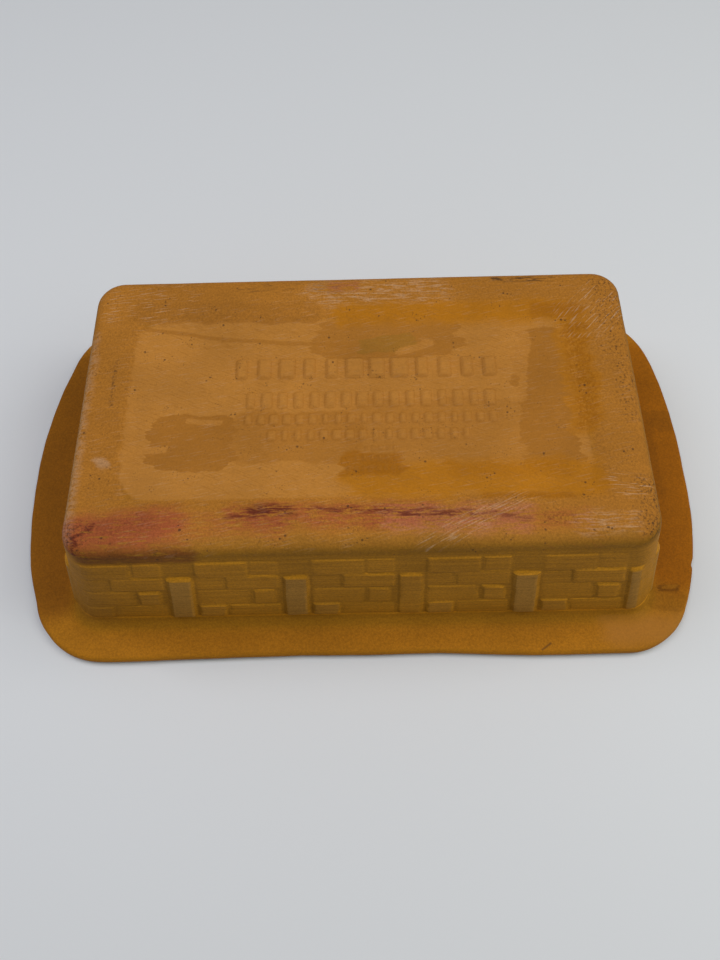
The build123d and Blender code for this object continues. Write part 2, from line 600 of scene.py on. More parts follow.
@dataclass
class StoneWall:
    """The repeating pattern of raised stones round a piece's walls, in millimetres.

    Attributes:
        pitch: How far along the wall the pattern repeats.
        side_start: Where it starts along the long sides.
        end_start: Where it starts along the ends.
        taper: How much narrower the long sides and the ends get per millimetre of height.
        joint: Half the gap between stones.
        edge: How far a stone's rounded edge reaches in.
        wander: How far the joints stray.
        course_top: Where the stones stop, over top_fade.
        corner_fade: The share of a corner where the stones are gone, and where they are whole.
        joint_heights: The relief where there is no joint, and where there is nothing but joint.
        ledge_reach: How far away the relief is compared to find edges.
        least_proud: The part of its height that every stone keeps.
        proud_spread: The part that is left to chance.
    """

    pitch: float = 62.2
    side_start: float = -106.0
    end_start: float = -88.0
    taper: Span = (0.00142, 0.0017)
    joint: float = 0.2
    edge: float = 1.3
    wander: float = 1.35
    course_top: float = 200.0
    top_fade: float = 2.0
    corner_fade: Span = (0.85, 0.25)
    joint_heights: Span = (0.5, 0.1)
    ledge_reach: float = 0.8
    least_proud: float = 0.65
    proud_spread: float = 0.7
    stones: tuple[Stone, ...] = (
        Stone(0.0, 14.5, 15.5, 62.5, 2.2),
        Stone(15.5, 45.0, 62.5, 78.6, 1.0),
        Stone(45.0, 61.5, 64.0, 78.6, 0.75),
        Stone(15.5, 31.5, 48.6, 62.5, 0.6),
        Stone(31.5, 61.5, 48.6, 64.0, 1.2),
        Stone(15.5, 44.5, 30.0, 48.6, 0.8),
        Stone(45.5, 59.0, 31.0, 47.6, 1.4),
        Stone(15.5, 32.0, 15.5, 31.0, 1.3),
        Stone(32.0, 61.5, 15.5, 30.0, 0.8),
    )

    def stone_group(self) -> bpy.types.NodeTree:
        """Make the group that gives one stone's height over the wall, with soft edges.

        Returns:
            The group.
        """
        names = ("Run", "Height", "Left", "Right", "Bottom", "Top", "Proud", "Pitch")
        inputs = [(name, "Float", 0.0) for name in names]
        group, at, out = new_group("GeometryNodeTree", "stone", inputs, [("Relief", "Float")])
        half_width = (at["Right"] - at["Left"]) * 0.5
        half_height = (at["Top"] - at["Bottom"]) * 0.5
        middle = at["Left"] + half_width
        across = ((at["Run"] - middle) + at["Pitch"] * 0.5).wrap(at["Pitch"]) - at["Pitch"] * 0.5
        up = at["Height"] - (at["Bottom"] + half_height)
        side = (half_width - across.size()).step(self.joint, self.joint + self.edge)
        level = (half_height - up.size()).step(self.joint, self.joint + self.edge)
        feed(group, out.inputs["Relief"], side * level * at["Proud"])
        return group

    def relief_group(self) -> bpy.types.NodeTree:
        """Make the group that gives the pattern's height, from a run along the wall and a height up it.

        Returns:
            The group.
        """
        inputs = [
            ("Run", "Float", 0.0),
            ("Height", "Float", 0.0),
            ("Pitch", "Float", self.pitch),
            ("Seed", "Float", 1.0),
        ]
        group, at, out = new_group("GeometryNodeTree", "stone pattern", inputs, [("Relief", "Float")])
        stone = self.stone_group()
        relief = None
        for number, shape in enumerate(self.stones):
            turn = ((at["Run"] - (shape.left + shape.right - self.pitch) / 2) / at["Pitch"]).whole()
            draw = chance(group, turn * 7.31 + at["Seed"] + number * 3.17)
            proud = (draw * self.proud_spread + self.least_proud) * shape.proud
            place = {"Run": at["Run"], "Height": at["Height"], "Pitch": at["Pitch"]}
            one = group_value(group, stone, {**shape.inputs(), **place, "Proud": proud})
            relief = one if relief is None else relief.most(one)
        feed(group, out.inputs["Relief"], relief)
        return group


@dataclass(frozen=True)
class BlockRow(Measures):
    """One row of small raised blocks on the underside."""

    middle: float
    half_height: float
    left: float
    right: float
    pitch: float
    proud: float


@dataclass
class Ornament:
    """Rows of small raised blocks in the middle of the underside, a plain echo of the stones on the walls.

    Attributes:
        foot: Between which heights the underside starts, in millimetres.
        edge: How far a block's rounded edge reaches.
        rows: The rows, from the back.
    """

    foot: Span = (86.0, 86.6)
    edge: float = 1.3
    rows: tuple[BlockRow, ...] = (
        BlockRow(20.0, 6.0, -66.0, 72.0, 11.5, 0.75),
        BlockRow(1.5, 4.8, -59.0, 69.0, 8.0, 0.6),
        BlockRow(-9.5, 3.2, -59.0, 69.0, 6.4, 0.5),
        BlockRow(-18.5, 3.2, -47.0, 53.0, 6.4, 0.5),
        BlockRow(-25.8, 1.7, -3.0, 17.0, 3.6, 0.35),
        BlockRow(-31.0, 1.9, -4.0, 18.0, 3.8, 0.4),
        BlockRow(-36.5, 1.7, -8.0, 22.0, 3.6, 0.35),
    )

    def row_group(self) -> bpy.types.NodeTree:
        """Make the group that gives one row's height: blocks of uneven width, with soft edges.

        Returns:
            The group.
        """
        names = ("X", "Y", "Middle", "Half height", "Left", "Right", "Pitch", "Proud", "Seed")
        inputs = [(name, "Float", 0.0) for name in names]
        group, at, out = new_group("GeometryNodeTree", "block row", inputs, [("Relief", "Float")])
        place = (at["X"] - at["Left"]) / at["Pitch"]
        draw = chance(group, place.whole() + at["Seed"] * 31.7)
        half = at["Pitch"] * (draw * 0.17 + 0.25)
        across = ((place.wrap(1.0) - 0.5) * at["Pitch"]).size()
        up = (at["Y"] - at["Middle"]).size()
        edge = (-0.2, self.edge)
        block = (half - across).step(*edge) * (at["Half height"] - up).step(*edge)
        inside = (at["X"] - at["Left"]).step(-0.1, 0.1) * (at["Right"] - at["X"]).step(-0.1, 0.1)
        feed(group, out.inputs["Relief"], block * inside * at["Proud"])
        return group

    def relief(self, tree: bpy.types.NodeTree, place: Sequence[Wire], seed: Wire) -> Wire:
        """The blocks' height over a piece.

        Args:
            tree: The tree to work it out in.
            place: The three parts of the place.
            seed: The random seed.

        Returns:
            The height in millimetres.
        """
        x, y, z = place
        on_foot = z.step(*self.foot)
        group = self.row_group()
        blocks = on_foot * 0.0
        for number, row in enumerate(self.rows):
            inputs = {**row.inputs(), "X": x, "Y": y, "Seed": seed + number}
            blocks = blocks.most(group_value(tree, group, inputs))
        return blocks * on_foot


def relief_tree(name: str, wall: StoneWall, ornament: Ornament | None) -> bpy.types.NodeTree:
    """The tree that raises the stones and the ornament on a piece, and keeps their height in attributes.

    Args:
        name: The tree's name.
        wall: The stones.
        ornament: The underside's blocks, or None.

    Returns:
        The tree, with inputs for how far each relief stands out and for the random seed.
    """
    inputs = [
        ("Geometry", "Geometry", None),
        ("Stone height", "Float", 1.0),
        ("Ornament height", "Float", 1.0),
        ("Unevenness", "Float", 0.25),
        ("Seed", "Float", 3.0),
        ("Material", "Material", None),
    ]
    tree, at, out = new_group("GeometryNodeTree", name, inputs, [("Geometry", "Geometry")])
    in_mm = stretched(tree, add_node(tree, "GeometryNodeInputPosition").outputs[0], PER_MM)
    normal = add_node(tree, "GeometryNodeInputNormal").outputs[0]
    named = add_node(tree, "GeometryNodeInputNamedAttribute", {"Name": "outer"}, data_type="FLOAT")
    outer = Wire(tree, named.outputs[0])
    x, y, z = parts(tree, in_mm)
    end_facing, side_facing, _ = parts(tree, normal)
    end_share = end_facing * end_facing
    end_share = end_share / (end_share + side_facing * side_facing + 0.0001)

    wander_run = (noise(tree, in_mm, 0.09) - 0.5) * (2 * wall.wander)
    wander_up = (noise(tree, stretched(tree, in_mm, (1, 1, 0.4)), 0.06) - 0.5) * (2 * wall.wander)
    pattern = wall.relief_group()
    runs = [
        along / (1.0 - z * taper) - start + wander_run
        for along, taper, start in zip((x, y), wall.taper, (wall.side_start, wall.end_start))
    ]

    def stones_at(rise: float, along: float = 0.0) -> Wire:
        """The stones' height a little above and to the right of each point.

        Args:
            rise: How far above.
            along: How far to the right.

        Returns:
            The height in millimetres.
        """
        height = z + wander_up + rise
        side, end = (
            group_value(tree, pattern, {"Run": run + along, "Height": height, "Seed": seed})
            for run, seed in zip(runs, (at["Seed"], at["Seed"] + 40.0))
        )
        return side + (end - side) * end_share

    corner = end_share * (1.0 - end_share) * 4.0
    below_top = z.step(wall.course_top + wall.top_fade, wall.course_top)
    shown = outer * below_top * corner.step(*wall.corner_fade)
    height, reach = stones_at(0.0), wall.ledge_reach
    stones = height * shown
    blocks = at["Ornament height"] * 0.0
    if ornament:
        blocks = ornament.relief(tree, (x, y, z), at["Seed"]) * at["Ornament height"]
    lumps = (noise(tree, in_mm, 0.03, 3.0) - 0.5) * at["Unevenness"] * 2.0 * outer * z.step(1.0, 6.0)
    push = scaled(tree, normal, (stones * at["Stone height"] + blocks + lumps) * MM)

    kept = at["Geometry"]
    attributes = {
        "relief": stones + blocks,
        "joint": height.step(*wall.joint_heights) * shown,
        # ledge and flank say how the relief steps above and beside each point; the finishes paint
        # highlights and shade from them
        "ledge": (stones_at(-reach) - stones_at(reach)) * shown,
        "flank": (stones_at(0.0, reach) - stones_at(0.0, -reach)) * shown,
    }
    for label, value in attributes.items():
        inputs = {"Geometry": kept, "Name": label}
        store = add_node(tree, "GeometryNodeStoreNamedAttribute", inputs, data_type="FLOAT")
        feed(tree, store.inputs["Value"], value)
        kept = store.outputs[0]
    for kind, inputs in (
        ("GeometryNodeSetPosition", {"Offset": push}),
        ("GeometryNodeRealizeInstances", {}),
        ("GeometryNodeSetMaterial", {"Material": at["Material"]}),
    ):
        kept = add_node(tree, kind, {"Geometry": kept, **inputs}).outputs[0]
    feed(tree, out.inputs["Geometry"], kept)
    return tree


def bake_nodes(piece: bpy.types.Object, tree: bpy.types.NodeTree, values: dict[str, object]) -> None:
    """Run a geometry node tree on a piece and keep its result as a plain mesh.

    Args:
        piece: The object.
        tree: The tree.
        values: The tree's inputs by name.
    """
    modifier = piece.modifiers.new(tree.name, "NODES")
    modifier.node_group = tree
    for item in tree.interface.items_tree:
        if item.item_type == "SOCKET" and item.in_out == "INPUT" and item.name in values:
            modifier[item.identifier] = values[item.name]
    graph = bpy.context.evaluated_depsgraph_get()
    baked = bpy.data.meshes.new_from_object(
        piece.evaluated_get(graph), preserve_all_data_layers=True, depsgraph=graph
    )
    piece.modifiers.remove(modifier)
    old = piece.data
    piece.data = baked
    bpy.data.meshes.remove(old)
    baked.name = piece.name
    baked.shade_smooth()


def new_piece(name: str, mesh: bpy.types.Mesh) -> bpy.types.Object:
    """Put an object that shows the mesh at the scene's origin.

    Args:
        name: The object's name.
        mesh: The mesh.

    Returns:
        The object.
    """
    piece = bpy.data.objects.new(name, mesh)
    bpy.context.scene.collection.objects.link(piece)
    return piece


# ---- finishes ------------------------------------------------------------------------------------


class Tone(Enum):
    """The colours of the fired clay and of what marks it, as linear values; some also serve as painted
    shade and painted highlight.
    """

    RIM = (0.415, 0.163, 0.009)
    RIM_LEFT = (0.265, 0.092, 0.005)
    RIM_RIGHT = (0.335, 0.107, 0.003)
    WALL = (0.43, 0.185, 0.012)
    # darkens the joints between the stones, and serves as painted shade in creases and on the stones'
    # shaded edges
    MORTAR = (0.27, 0.118, 0.006)
    WORN = (0.37, 0.190, 0.040)
    # painted highlight: the light that the stones' upper and right edges catch, and the top of the walls'
    # root
    LEDGE = (0.68, 0.29, 0.015)
    FOOT = (0.415, 0.163, 0.020)
    PALE = (0.485, 0.203, 0.034)
    BROWN = (0.375, 0.146, 0.018)
    OLIVE = (0.335, 0.150, 0.018)
    ORANGE = (0.465, 0.168, 0.004)
    RUST = (0.36, 0.122, 0.003)
    RED = (0.36, 0.085, 0.028)
    PINK = (0.50, 0.185, 0.085)
    DARK_RED = (0.12, 0.020, 0.010)
    CHALK = (0.66, 0.46, 0.30)
    SOOT = (0.04, 0.022, 0.014)
    # soot, and painted shade along the rim's lower edge
    WET = (0.19, 0.066, 0.004)
    LID = (0.42, 0.175, 0.020)

    @property
    def rgba(self) -> tuple[float, float, float, float]:
        """The colour with full opacity."""
        return (*self.value, 1.0)


class Wear(Enum):
    """What eats into a stain."""

    CLOUDED = "Clouded"
    STREAKED = "Streaked"
    SCRATCHED = "Lines"


@dataclass(frozen=True)
class Stain:
    """A patch of another tone on the clay, in millimetres.

    Attributes:
        tone: Its colour.
        centre: Its middle, seen from above.
        half: Half its length and half its width.
        strength: How much of it shows.
        edge: How soft its edge is.
        wander: How far its edge strays.
        breakup: How much of it the wear eats away.
        wear: What eats it away.
        turn: Its turn in degrees.
        height: The height of its middle.
        depth: How far above and below that it reaches.
        roundness: How round its corners are, from 0 to 1.
    """

    tone: Tone
    centre: tuple[float, float]
    half: tuple[float, float]
    strength: float = 1.0
    edge: float = 2.0
    wander: float = 4.0
    breakup: float = 0.0
    wear: Wear = Wear.STREAKED
    turn: float = 0.0
    height: float = 89.0
    depth: float = 6.0
    roundness: float = 0.7


class ClayGroups:
    """The shader node groups that the clay finishes share, each built once."""

    def __init__(self) -> None:
        """Build the groups."""
        self.drift = self._drift()
        self.patch = self._patch()
        self.grain = self._grain()
        self.scratches = self._scratches()
        self.specks = self._specks()

    def _drift(self) -> bpy.types.NodeTree:
        """How a stain's edge wanders in brush strokes along X, and the noises that eat into stains.

        Returns:
            The group.
        """
        outputs = [("Wander", "Vector"), ("Clouded", "Float"), ("Streaked", "Float")]
        tree, at, out = new_group("ShaderNodeTree", "stain drift", [("Vector", "Vector", None)], outputs)
        place = at["Vector"]
        slow = add_node(tree, "ShaderNodeTexNoise", {"Vector": place, "Scale": 0.07, "Detail": 4.0})
        slow_x, slow_y, _ = parts(tree, slow.outputs["Color"])
        strokes = noise(tree, stretched(tree, place, (0.08, 1.0, 1.0)), 0.22, 3.0, 0.6)
        wander = {"X": (slow_x - 0.5) * 3.0 + (strokes - 0.5) * 5.0, "Y": (slow_y - 0.5) * 2.6}
        feed(tree, out.inputs["Wander"], add_node(tree, "ShaderNodeCombineXYZ", wander).outputs[0])
        feed(tree, out.inputs["Clouded"], noise(tree, place, 0.7, 4.0, 0.7))
        streaked = noise(tree, stretched(tree, place, (0.14, 1.0, 1.0)), 0.8, 4.0, 0.65)
        feed(tree, out.inputs["Streaked"], streaked)
        return tree

    def _patch(self) -> bpy.types.NodeTree:
        """A patch's mask: a rounded box with a wandering edge, eaten into by a noise.

        Returns:
            The group.
        """
        inputs = [
            ("Vector", "Vector", None),
            ("Drift", "Vector", None),
            ("Noise", "Float", 1.0),
            ("Centre", "Vector", None),
            ("Half length", "Float", 10.0),
            ("Half width", "Float", 5.0),
            ("Depth", "Float", 6.0),
            ("Roundness", "Float", 0.7),
            ("Turn", "Float", 0.0),
            ("Edge", "Float", 2.0),
            ("Wander", "Float", 4.0),
            ("Breakup", "Float", 0.0),
        ]
        tree, at, out = new_group("ShaderNodeTree", "patch", inputs, [("Mask", "Float")])
        moved = vector_math(tree, "ADD", at["Vector"], scaled(tree, at["Drift"], at["Wander"]))
        local = vector_math(tree, "SUBTRACT", moved, at["Centre"])
        x, y, rise = turned(tree, local, at["Turn"] * -1.0)
        round_by = at["Half length"].least(at["Half width"]) * at["Roundness"]
        over_x = (x.size() - at["Half length"] + round_by).most(0.0)
        over_y = (y.size() - at["Half width"] + round_by).most(0.0)
        reach = (over_x * over_x + over_y * over_y).root() - round_by
        mask = reach.step(at["Edge"] * 0.5, at["Edge"] * -0.5)
        mask = mask * rise.size().step(at["Depth"], at["Depth"] * 0.7)
        eaten = at["Noise"].step(at["Breakup"] - 0.1, at["Breakup"] + 0.1)
        feed(tree, out.inputs["Mask"], mask * eaten)
        return tree

    def _grain(self) -> bpy.types.NodeTree:
        """Fired clay: slow clouds, streaks of brush and mould, grit with pits, and the height they make.

        Returns:
            The group.
        """
        inputs = [("Vector", "Vector", None), ("Upright", "Float", 1.0)]
        outputs = [("Cloud", "Float"), ("Streaks", "Float"), ("Grit", "Float"), ("Height", "Float")]
        tree, at, out = new_group("ShaderNodeTree", "clay grain", inputs, outputs)
        cloud = noise(tree, at["Vector"], 0.022, 4.0, 0.55)
        level = noise(tree, stretched(tree, at["Vector"], (0.035, 0.035, 1.5)), 0.6, 4.0, 0.65)
        brushed = noise(tree, stretched(tree, at["Vector"], (0.06, 1.2, 1.0)), 0.5, 4.0, 0.65)
        streaks = brushed + (level - brushed) * at["Upright"]
        grit = noise(tree, at["Vector"], 0.9, 5.0, 0.8)
        pits = grit.step(0.36, 0.28)
        feed(tree, out.inputs["Cloud"], cloud)
        feed(tree, out.inputs["Streaks"], streaks)
        feed(tree, out.inputs["Grit"], grit)
        feed(tree, out.inputs["Height"], grit * 0.35 + streaks * 0.65 - pits * 0.4)
        return tree

    def _scratches(self) -> bpy.types.NodeTree:
        """A noise drawn out into short thin lines that all lie one way.

        Returns:
            The group.
        """
        inputs = [
            ("Vector", "Vector", None),
            ("Turn", "Float", 0.0),
            ("Length", "Float", 9.0),
            ("Width", "Float", 0.7),
        ]
        tree, at, out = new_group("ShaderNodeTree", "scratches", inputs, [("Lines", "Float")])
        x, y, _ = turned(tree, at["Vector"], at["Turn"] * -1.0)
        place = {"X": x / at["Length"], "Y": y / at["Width"]}
        joined = add_node(tree, "ShaderNodeCombineXYZ", place).outputs[0]
        feed(tree, out.inputs["Lines"], noise(tree, joined, 1.0, 1.0))
        return tree

    def _specks(self) -> bpy.types.NodeTree:
        """Small dark specks of uneven size, gathered in loose crowds.

        Returns:
            The group.
        """
        inputs = [
            ("Vector", "Vector", None),
            ("Scale", "Float", 0.4),
            ("Size", "Float", 0.25),
            ("Crowd", "Float", 0.5),
        ]
        tree, at, out = new_group("ShaderNodeTree", "specks", inputs, [("Mask", "Float")])
        cells = add_node(tree, "ShaderNodeTexVoronoi", {"Vector": at["Vector"], "Scale": at["Scale"]})
        size = at["Size"] * parts(tree, cells.outputs["Color"])[0]
        dots = Wire(tree, cells.outputs["Distance"]).step(size, size * 0.5)
        crowd = noise(tree, at["Vector"], 0.09, 3.0, 0.6).step(at["Crowd"], at["Crowd"] + 0.08)
        feed(tree, out.inputs["Mask"], dots * crowd)
        return tree


class Paint:
    """A colour that is built up in layers inside a material.

    Attributes:
        nudge: How much a stain's mask moves the next stain's edge, in parts of its own wander and noise.
    """

    nudge = 0.01

    def __init__(self, tree: bpy.types.NodeTree, ground: Tone, vector: object, groups: ClayGroups) -> None:
        """Start from a plain ground.

        Args:
            tree: The material's tree.
            ground: The first tone.
            vector: The place in millimetres.
            groups: The shared groups.
        """
        self.tree = tree
        self.vector = vector
        self.groups = groups
        self.drift = use_group(tree, groups.drift, {"Vector": vector})
        self.under = Wire(tree, self.drift.outputs["Clouded"])
        self.colour: object = ground.rgba

    def layer(self, over: Tone, mask: Wire, strength: float = 1.0) -> None:
        """Mix another tone in.

        Args:
            over: The tone.
            mask: Where it goes, from 0 to 1.
            strength: How much of it shows there.
        """
        share = mask * strength
        mix = add_node(self.tree, "ShaderNodeMix", data_type="RGBA")
        sockets = {socket.identifier: socket for socket in mix.inputs}
        feed(self.tree, sockets["Factor_Float"], share)
        feed(self.tree, sockets["A_Color"], self.colour)
        feed(self.tree, sockets["B_Color"], over.rgba)
        self.colour = next(socket for socket in mix.outputs if socket.identifier == "Result_Color")

    def stain(self, stain: Stain) -> Wire:
        """Mix a stain in over the last one, whose mask nudges its edge.

        The nudge is too small to see. It puts the stains in a chain, without which the shader would hold
        too many masks at once.

        Args:
            stain: The stain.

        Returns:
            Its mask.
        """
        turn = math.radians(stain.turn)
        nudge = self.under * self.nudge
        eater = self.drift
        if stain.wear is Wear.SCRATCHED:
            eater = use_group(self.tree, self.groups.scratches, {"Vector": self.vector, "Turn": turn})
        inputs = {
            "Vector": self.vector,
            "Drift": self.drift.outputs["Wander"],
            "Noise": Wire(self.tree, eater.outputs[stain.wear.value]) + nudge,
            "Centre": (*stain.centre, stain.height),
            "Half length": stain.half[0],
            "Half width": stain.half[1],
            "Depth": stain.depth,
            "Roundness": stain.roundness,
            "Turn": turn,
            "Edge": stain.edge,
            "Wander": nudge + stain.wander,
            "Breakup": stain.breakup,
        }
        self.under = group_value(self.tree, self.groups.patch, inputs)
        self.layer(stain.tone, self.under, stain.strength)
        return self.under

    def specks(self, scale: float, size: float, crowd: float) -> Wire:
        """A mask of specks.

        Args:
            scale: Specks per millimetre.
            size: How large they are, as a part of the gap between them.
            crowd: How rare their crowds are.

        Returns:
            The mask.
        """
        values = {"Vector": self.vector, "Scale": scale, "Size": size, "Crowd": crowd}
        return group_value(self.tree, self.groups.specks, values)

    def baked(self, *names: str) -> list[Wire]:
        """The values that a piece's mesh keeps under the names."""
        nodes = [add_node(self.tree, "ShaderNodeAttribute", attribute_name=name) for name in names]
        return [Wire(self.tree, node.outputs["Fac"]) for node in nodes]

    def shade(self, value: Wire, low: float, high: float) -> None:
        """Make the colour darker or lighter.

        Args:
            value: What decides it, from 0 to 1.
            low: The colour's factor where the value is 0.
            high: Its factor where the value is 1.
        """
        self.colour = scaled(self.tree, self.colour, value * (high - low) + low)


@dataclass(frozen=True)
class ClayFinish:
    """Unglazed fired clay, with the marks of its use.

    Attributes:
        name: The material's name.
        roughness: The shader's roughness where the grit is finest.
        bump: How strongly the grain shows as height.
        grain_depth: The grain's height in millimetres.
        specular: The shader's specular level.
        cloud_shade: The colour's factors in the slow clouds.
        streak_shade: Its factors in the streaks.
        grit_shade: Its factors in the grit.
        stains: The marks, in the order they are laid.
    """

    name: str
    roughness: float = 0.62
    bump: float = 0.45
    grain_depth: float = 0.5
    specular: float = 0.08
    cloud_shade: Span = (0.9, 1.1)
    streak_shade: Span = (0.8, 1.2)
    grit_shade: Span = (0.78, 1.22)
    stains: tuple[Stain, ...] = ()

    def start(self, groups: ClayGroups, ground: Tone) -> tuple[bpy.types.Material, Paint, Wire]:
        """Make the material and the layers' ground.

        Args:
            groups: The shared groups.
            ground: The clay's own tone.

        Returns:
            The material, the paint, and the height in millimetres.
        """
        material = bpy.data.materials.new(self.name)
        material.use_nodes = True
        tree = material.node_tree
        vector = stretched(tree, add_node(tree, "ShaderNodeTexCoord").outputs["Object"], PER_MM)
        return material, Paint(tree, ground, vector, groups), parts(tree, vector)[2]

    def marks(self, paint: Paint) -> Wire:
        """Mix the stains in.

        Args:
            paint: The layers.

        Returns:
            Where the clay is smoother.
        """
        smooth = None
        for stain in self.stains:
            mask = paint.stain(stain)
            if stain.tone in (Tone.ORANGE, Tone.PALE):
                smooth = mask if smooth is None else smooth.most(mask)
        return smooth

    def close(self, paint: Paint, upright: Wire, smooth: Wire, on_wall: Wire) -> None:
        """Shade the layers with the clay's grain and join them to the shader.

        Args:
            paint: The finished layers.
            upright: 1 where the streaks lie level, 0 where they follow the brush.
            smooth: 1 where the clay is smoother.
            on_wall: 1 on the walls, whose streaks show most.
        """
        tree = paint.tree
        grain = use_group(tree, paint.groups.grain, {"Vector": paint.vector, "Upright": upright})
        cloud, streaks, grit, height = (Wire(tree, socket) for socket in grain.outputs)
        streaky = on_wall * 0.5 + 0.15
        paint.shade(cloud.step(0.25, 0.75), *self.cloud_shade)
        paint.shade(streaks.step(0.3, 0.7) * streaky + (1.0 - streaky) * 0.5, *self.streak_shade)
        paint.shade((grit.step(0.3, 0.7) - 0.5) * (1.0 - smooth * 0.6) + 0.5, *self.grit_shade)
        shader = tree.nodes["Principled BSDF"]
        shader.inputs["Specular IOR Level"].default_value = self.specular
        feed(tree, shader.inputs["Base Color"], paint.colour)
        feed(tree, shader.inputs["Roughness"], grit * 0.15 + self.roughness - smooth * 0.1)
        inputs = {"Strength": self.bump, "Distance": self.grain_depth * MM, "Height": height}
        feed(tree, shader.inputs["Normal"], add_node(tree, "ShaderNodeBump", inputs).outputs[0])


@dataclass(frozen=True)
class DishFinish(ClayFinish):
    """The dish's clay: orange on the rim, olive up the walls, and worn, wetted and scorched on the foot.

    The spans are heights in millimetres over which a layer comes or goes. Some layers are painted light:
    shade in the creases, under the foot's edge, under the rim's edge and on the stones' shaded edges, and
    highlights on the stones' lit edges and on the ornament.
    """

    wall_start: Span = (13.0, 16.0)
    wall_end: Span = (84.0, 80.0)
    foot: Span = (86.0, 89.4)
    rim: Span = (10.0, 7.0)
    root_shade: tuple[Span, Span] = ((7.2, 9.5), (15.0, 13.0))
    root_line: tuple[Span, Span] = ((13.8, 14.8), (16.8, 15.6))
    edge_shade: tuple[Span, Span] = ((80.0, 84.0), (89.2, 87.8))
    speckled: Span = (77.0, 83.0)
    sooty: Span = (3.2, 0.8)

    def build(self, groups: ClayGroups) -> bpy.types.Material:
        """Make the material.

        Args:
            groups: The shared groups.

        Returns:
            The material.
        """
        material, paint, height = self.start(groups, Tone.WALL)
        relief, joint, ledge, flank = paint.baked("relief", "joint", "ledge", "flank")
        on_wall = height.within(self.wall_start, self.wall_end)
        on_foot = height.step(*self.foot)
        paint.layer(Tone.RIM, height.step(*self.rim))
        # painted shade in the crease where the walls run into the rim
        paint.layer(Tone.MORTAR, height.within(*self.root_shade), 0.35)
        # painted shade on the wall just under the foot's rounded edge
        paint.layer(Tone.MORTAR, height.within(*self.edge_shade), 0.8)
        paint.layer(Tone.FOOT, on_foot)
        # darker joints between the stones, with painted shade in those recesses
        paint.layer(Tone.MORTAR, on_wall * joint, 0.35)
        paint.layer(Tone.WORN, on_wall * relief.step(1.4, 2.0), 0.7)
        # painted shade down the stones' left edges and a painted highlight up their right edges, as if lit
        # from the right
        paint.layer(Tone.MORTAR, on_wall * flank.step(0.3, 1.2), 0.8)
        paint.layer(Tone.LEDGE, on_wall * flank.step(-0.2, -1.4), 0.3)
        # painted highlight along the stones' upper edges, where the relief steps back above
        paint.layer(Tone.LEDGE, on_wall * ledge.step(0.15, 1.1), 0.75)
        # a painted highlight along the top of the root, where the walls start to curve out into the rim
        paint.layer(Tone.LEDGE, height.within(*self.root_line), 0.6)
        smooth = self.marks(paint)
        # painted shade: darker outlines at the edges of the ornament's raised blocks
        paint.layer(Tone.BROWN, on_foot * relief.within((0.02, 0.15), (0.45, 0.3)), 0.55)
        # painted highlight: the raised blocks' tops made lighter
        paint.layer(Tone.PALE, on_foot * relief.step(0.45, 0.8), 0.5)
        for scale, size, crowd, share in ((0.45, 0.42, 0.56, 0.7), (0.95, 0.45, 0.52, 0.35)):
            specks = paint.specks(scale, size, crowd)
            paint.layer(Tone.SOOT, specks * height.step(*self.speckled), share)
        # painted shade: the rim's edge darkened where it rounds under
        paint.layer(Tone.SOOT, height.step(*self.sooty), 0.65)
        self.close(paint, 1.0 - on_foot, smooth, on_wall)
        return material


@dataclass(frozen=True)
class LidFinish(ClayFinish):
    """The lid's clay, which has seen less wear than the dish's."""

    wall_start: Span = (5.5, 8.0)
    wall_end: Span = (36.0, 32.0)

    def build(self, groups: ClayGroups) -> bpy.types.Material:
        """Make the material.

        Args:
            groups: The shared groups.

        Returns:
            The material.
        """
        material, paint, height = self.start(groups, Tone.LID)
        joint, ledge = paint.baked("joint", "ledge")
        on_wall = height.within(self.wall_start, self.wall_end)
        paint.layer(Tone.WALL, on_wall)
        # darker joints between the stones, with painted shade in those recesses
        paint.layer(Tone.MORTAR, on_wall * joint, 0.35)
        # painted highlight along the stones' upper edges
        paint.layer(Tone.LEDGE, on_wall * ledge.step(0.3, 1.4), 0.6)
        smooth = self.marks(paint)
        paint.layer(Tone.SOOT, paint.specks(scale=0.35, size=0.4, crowd=0.6), 0.5)
        self.close(paint, on_wall, smooth, on_wall)
        return material


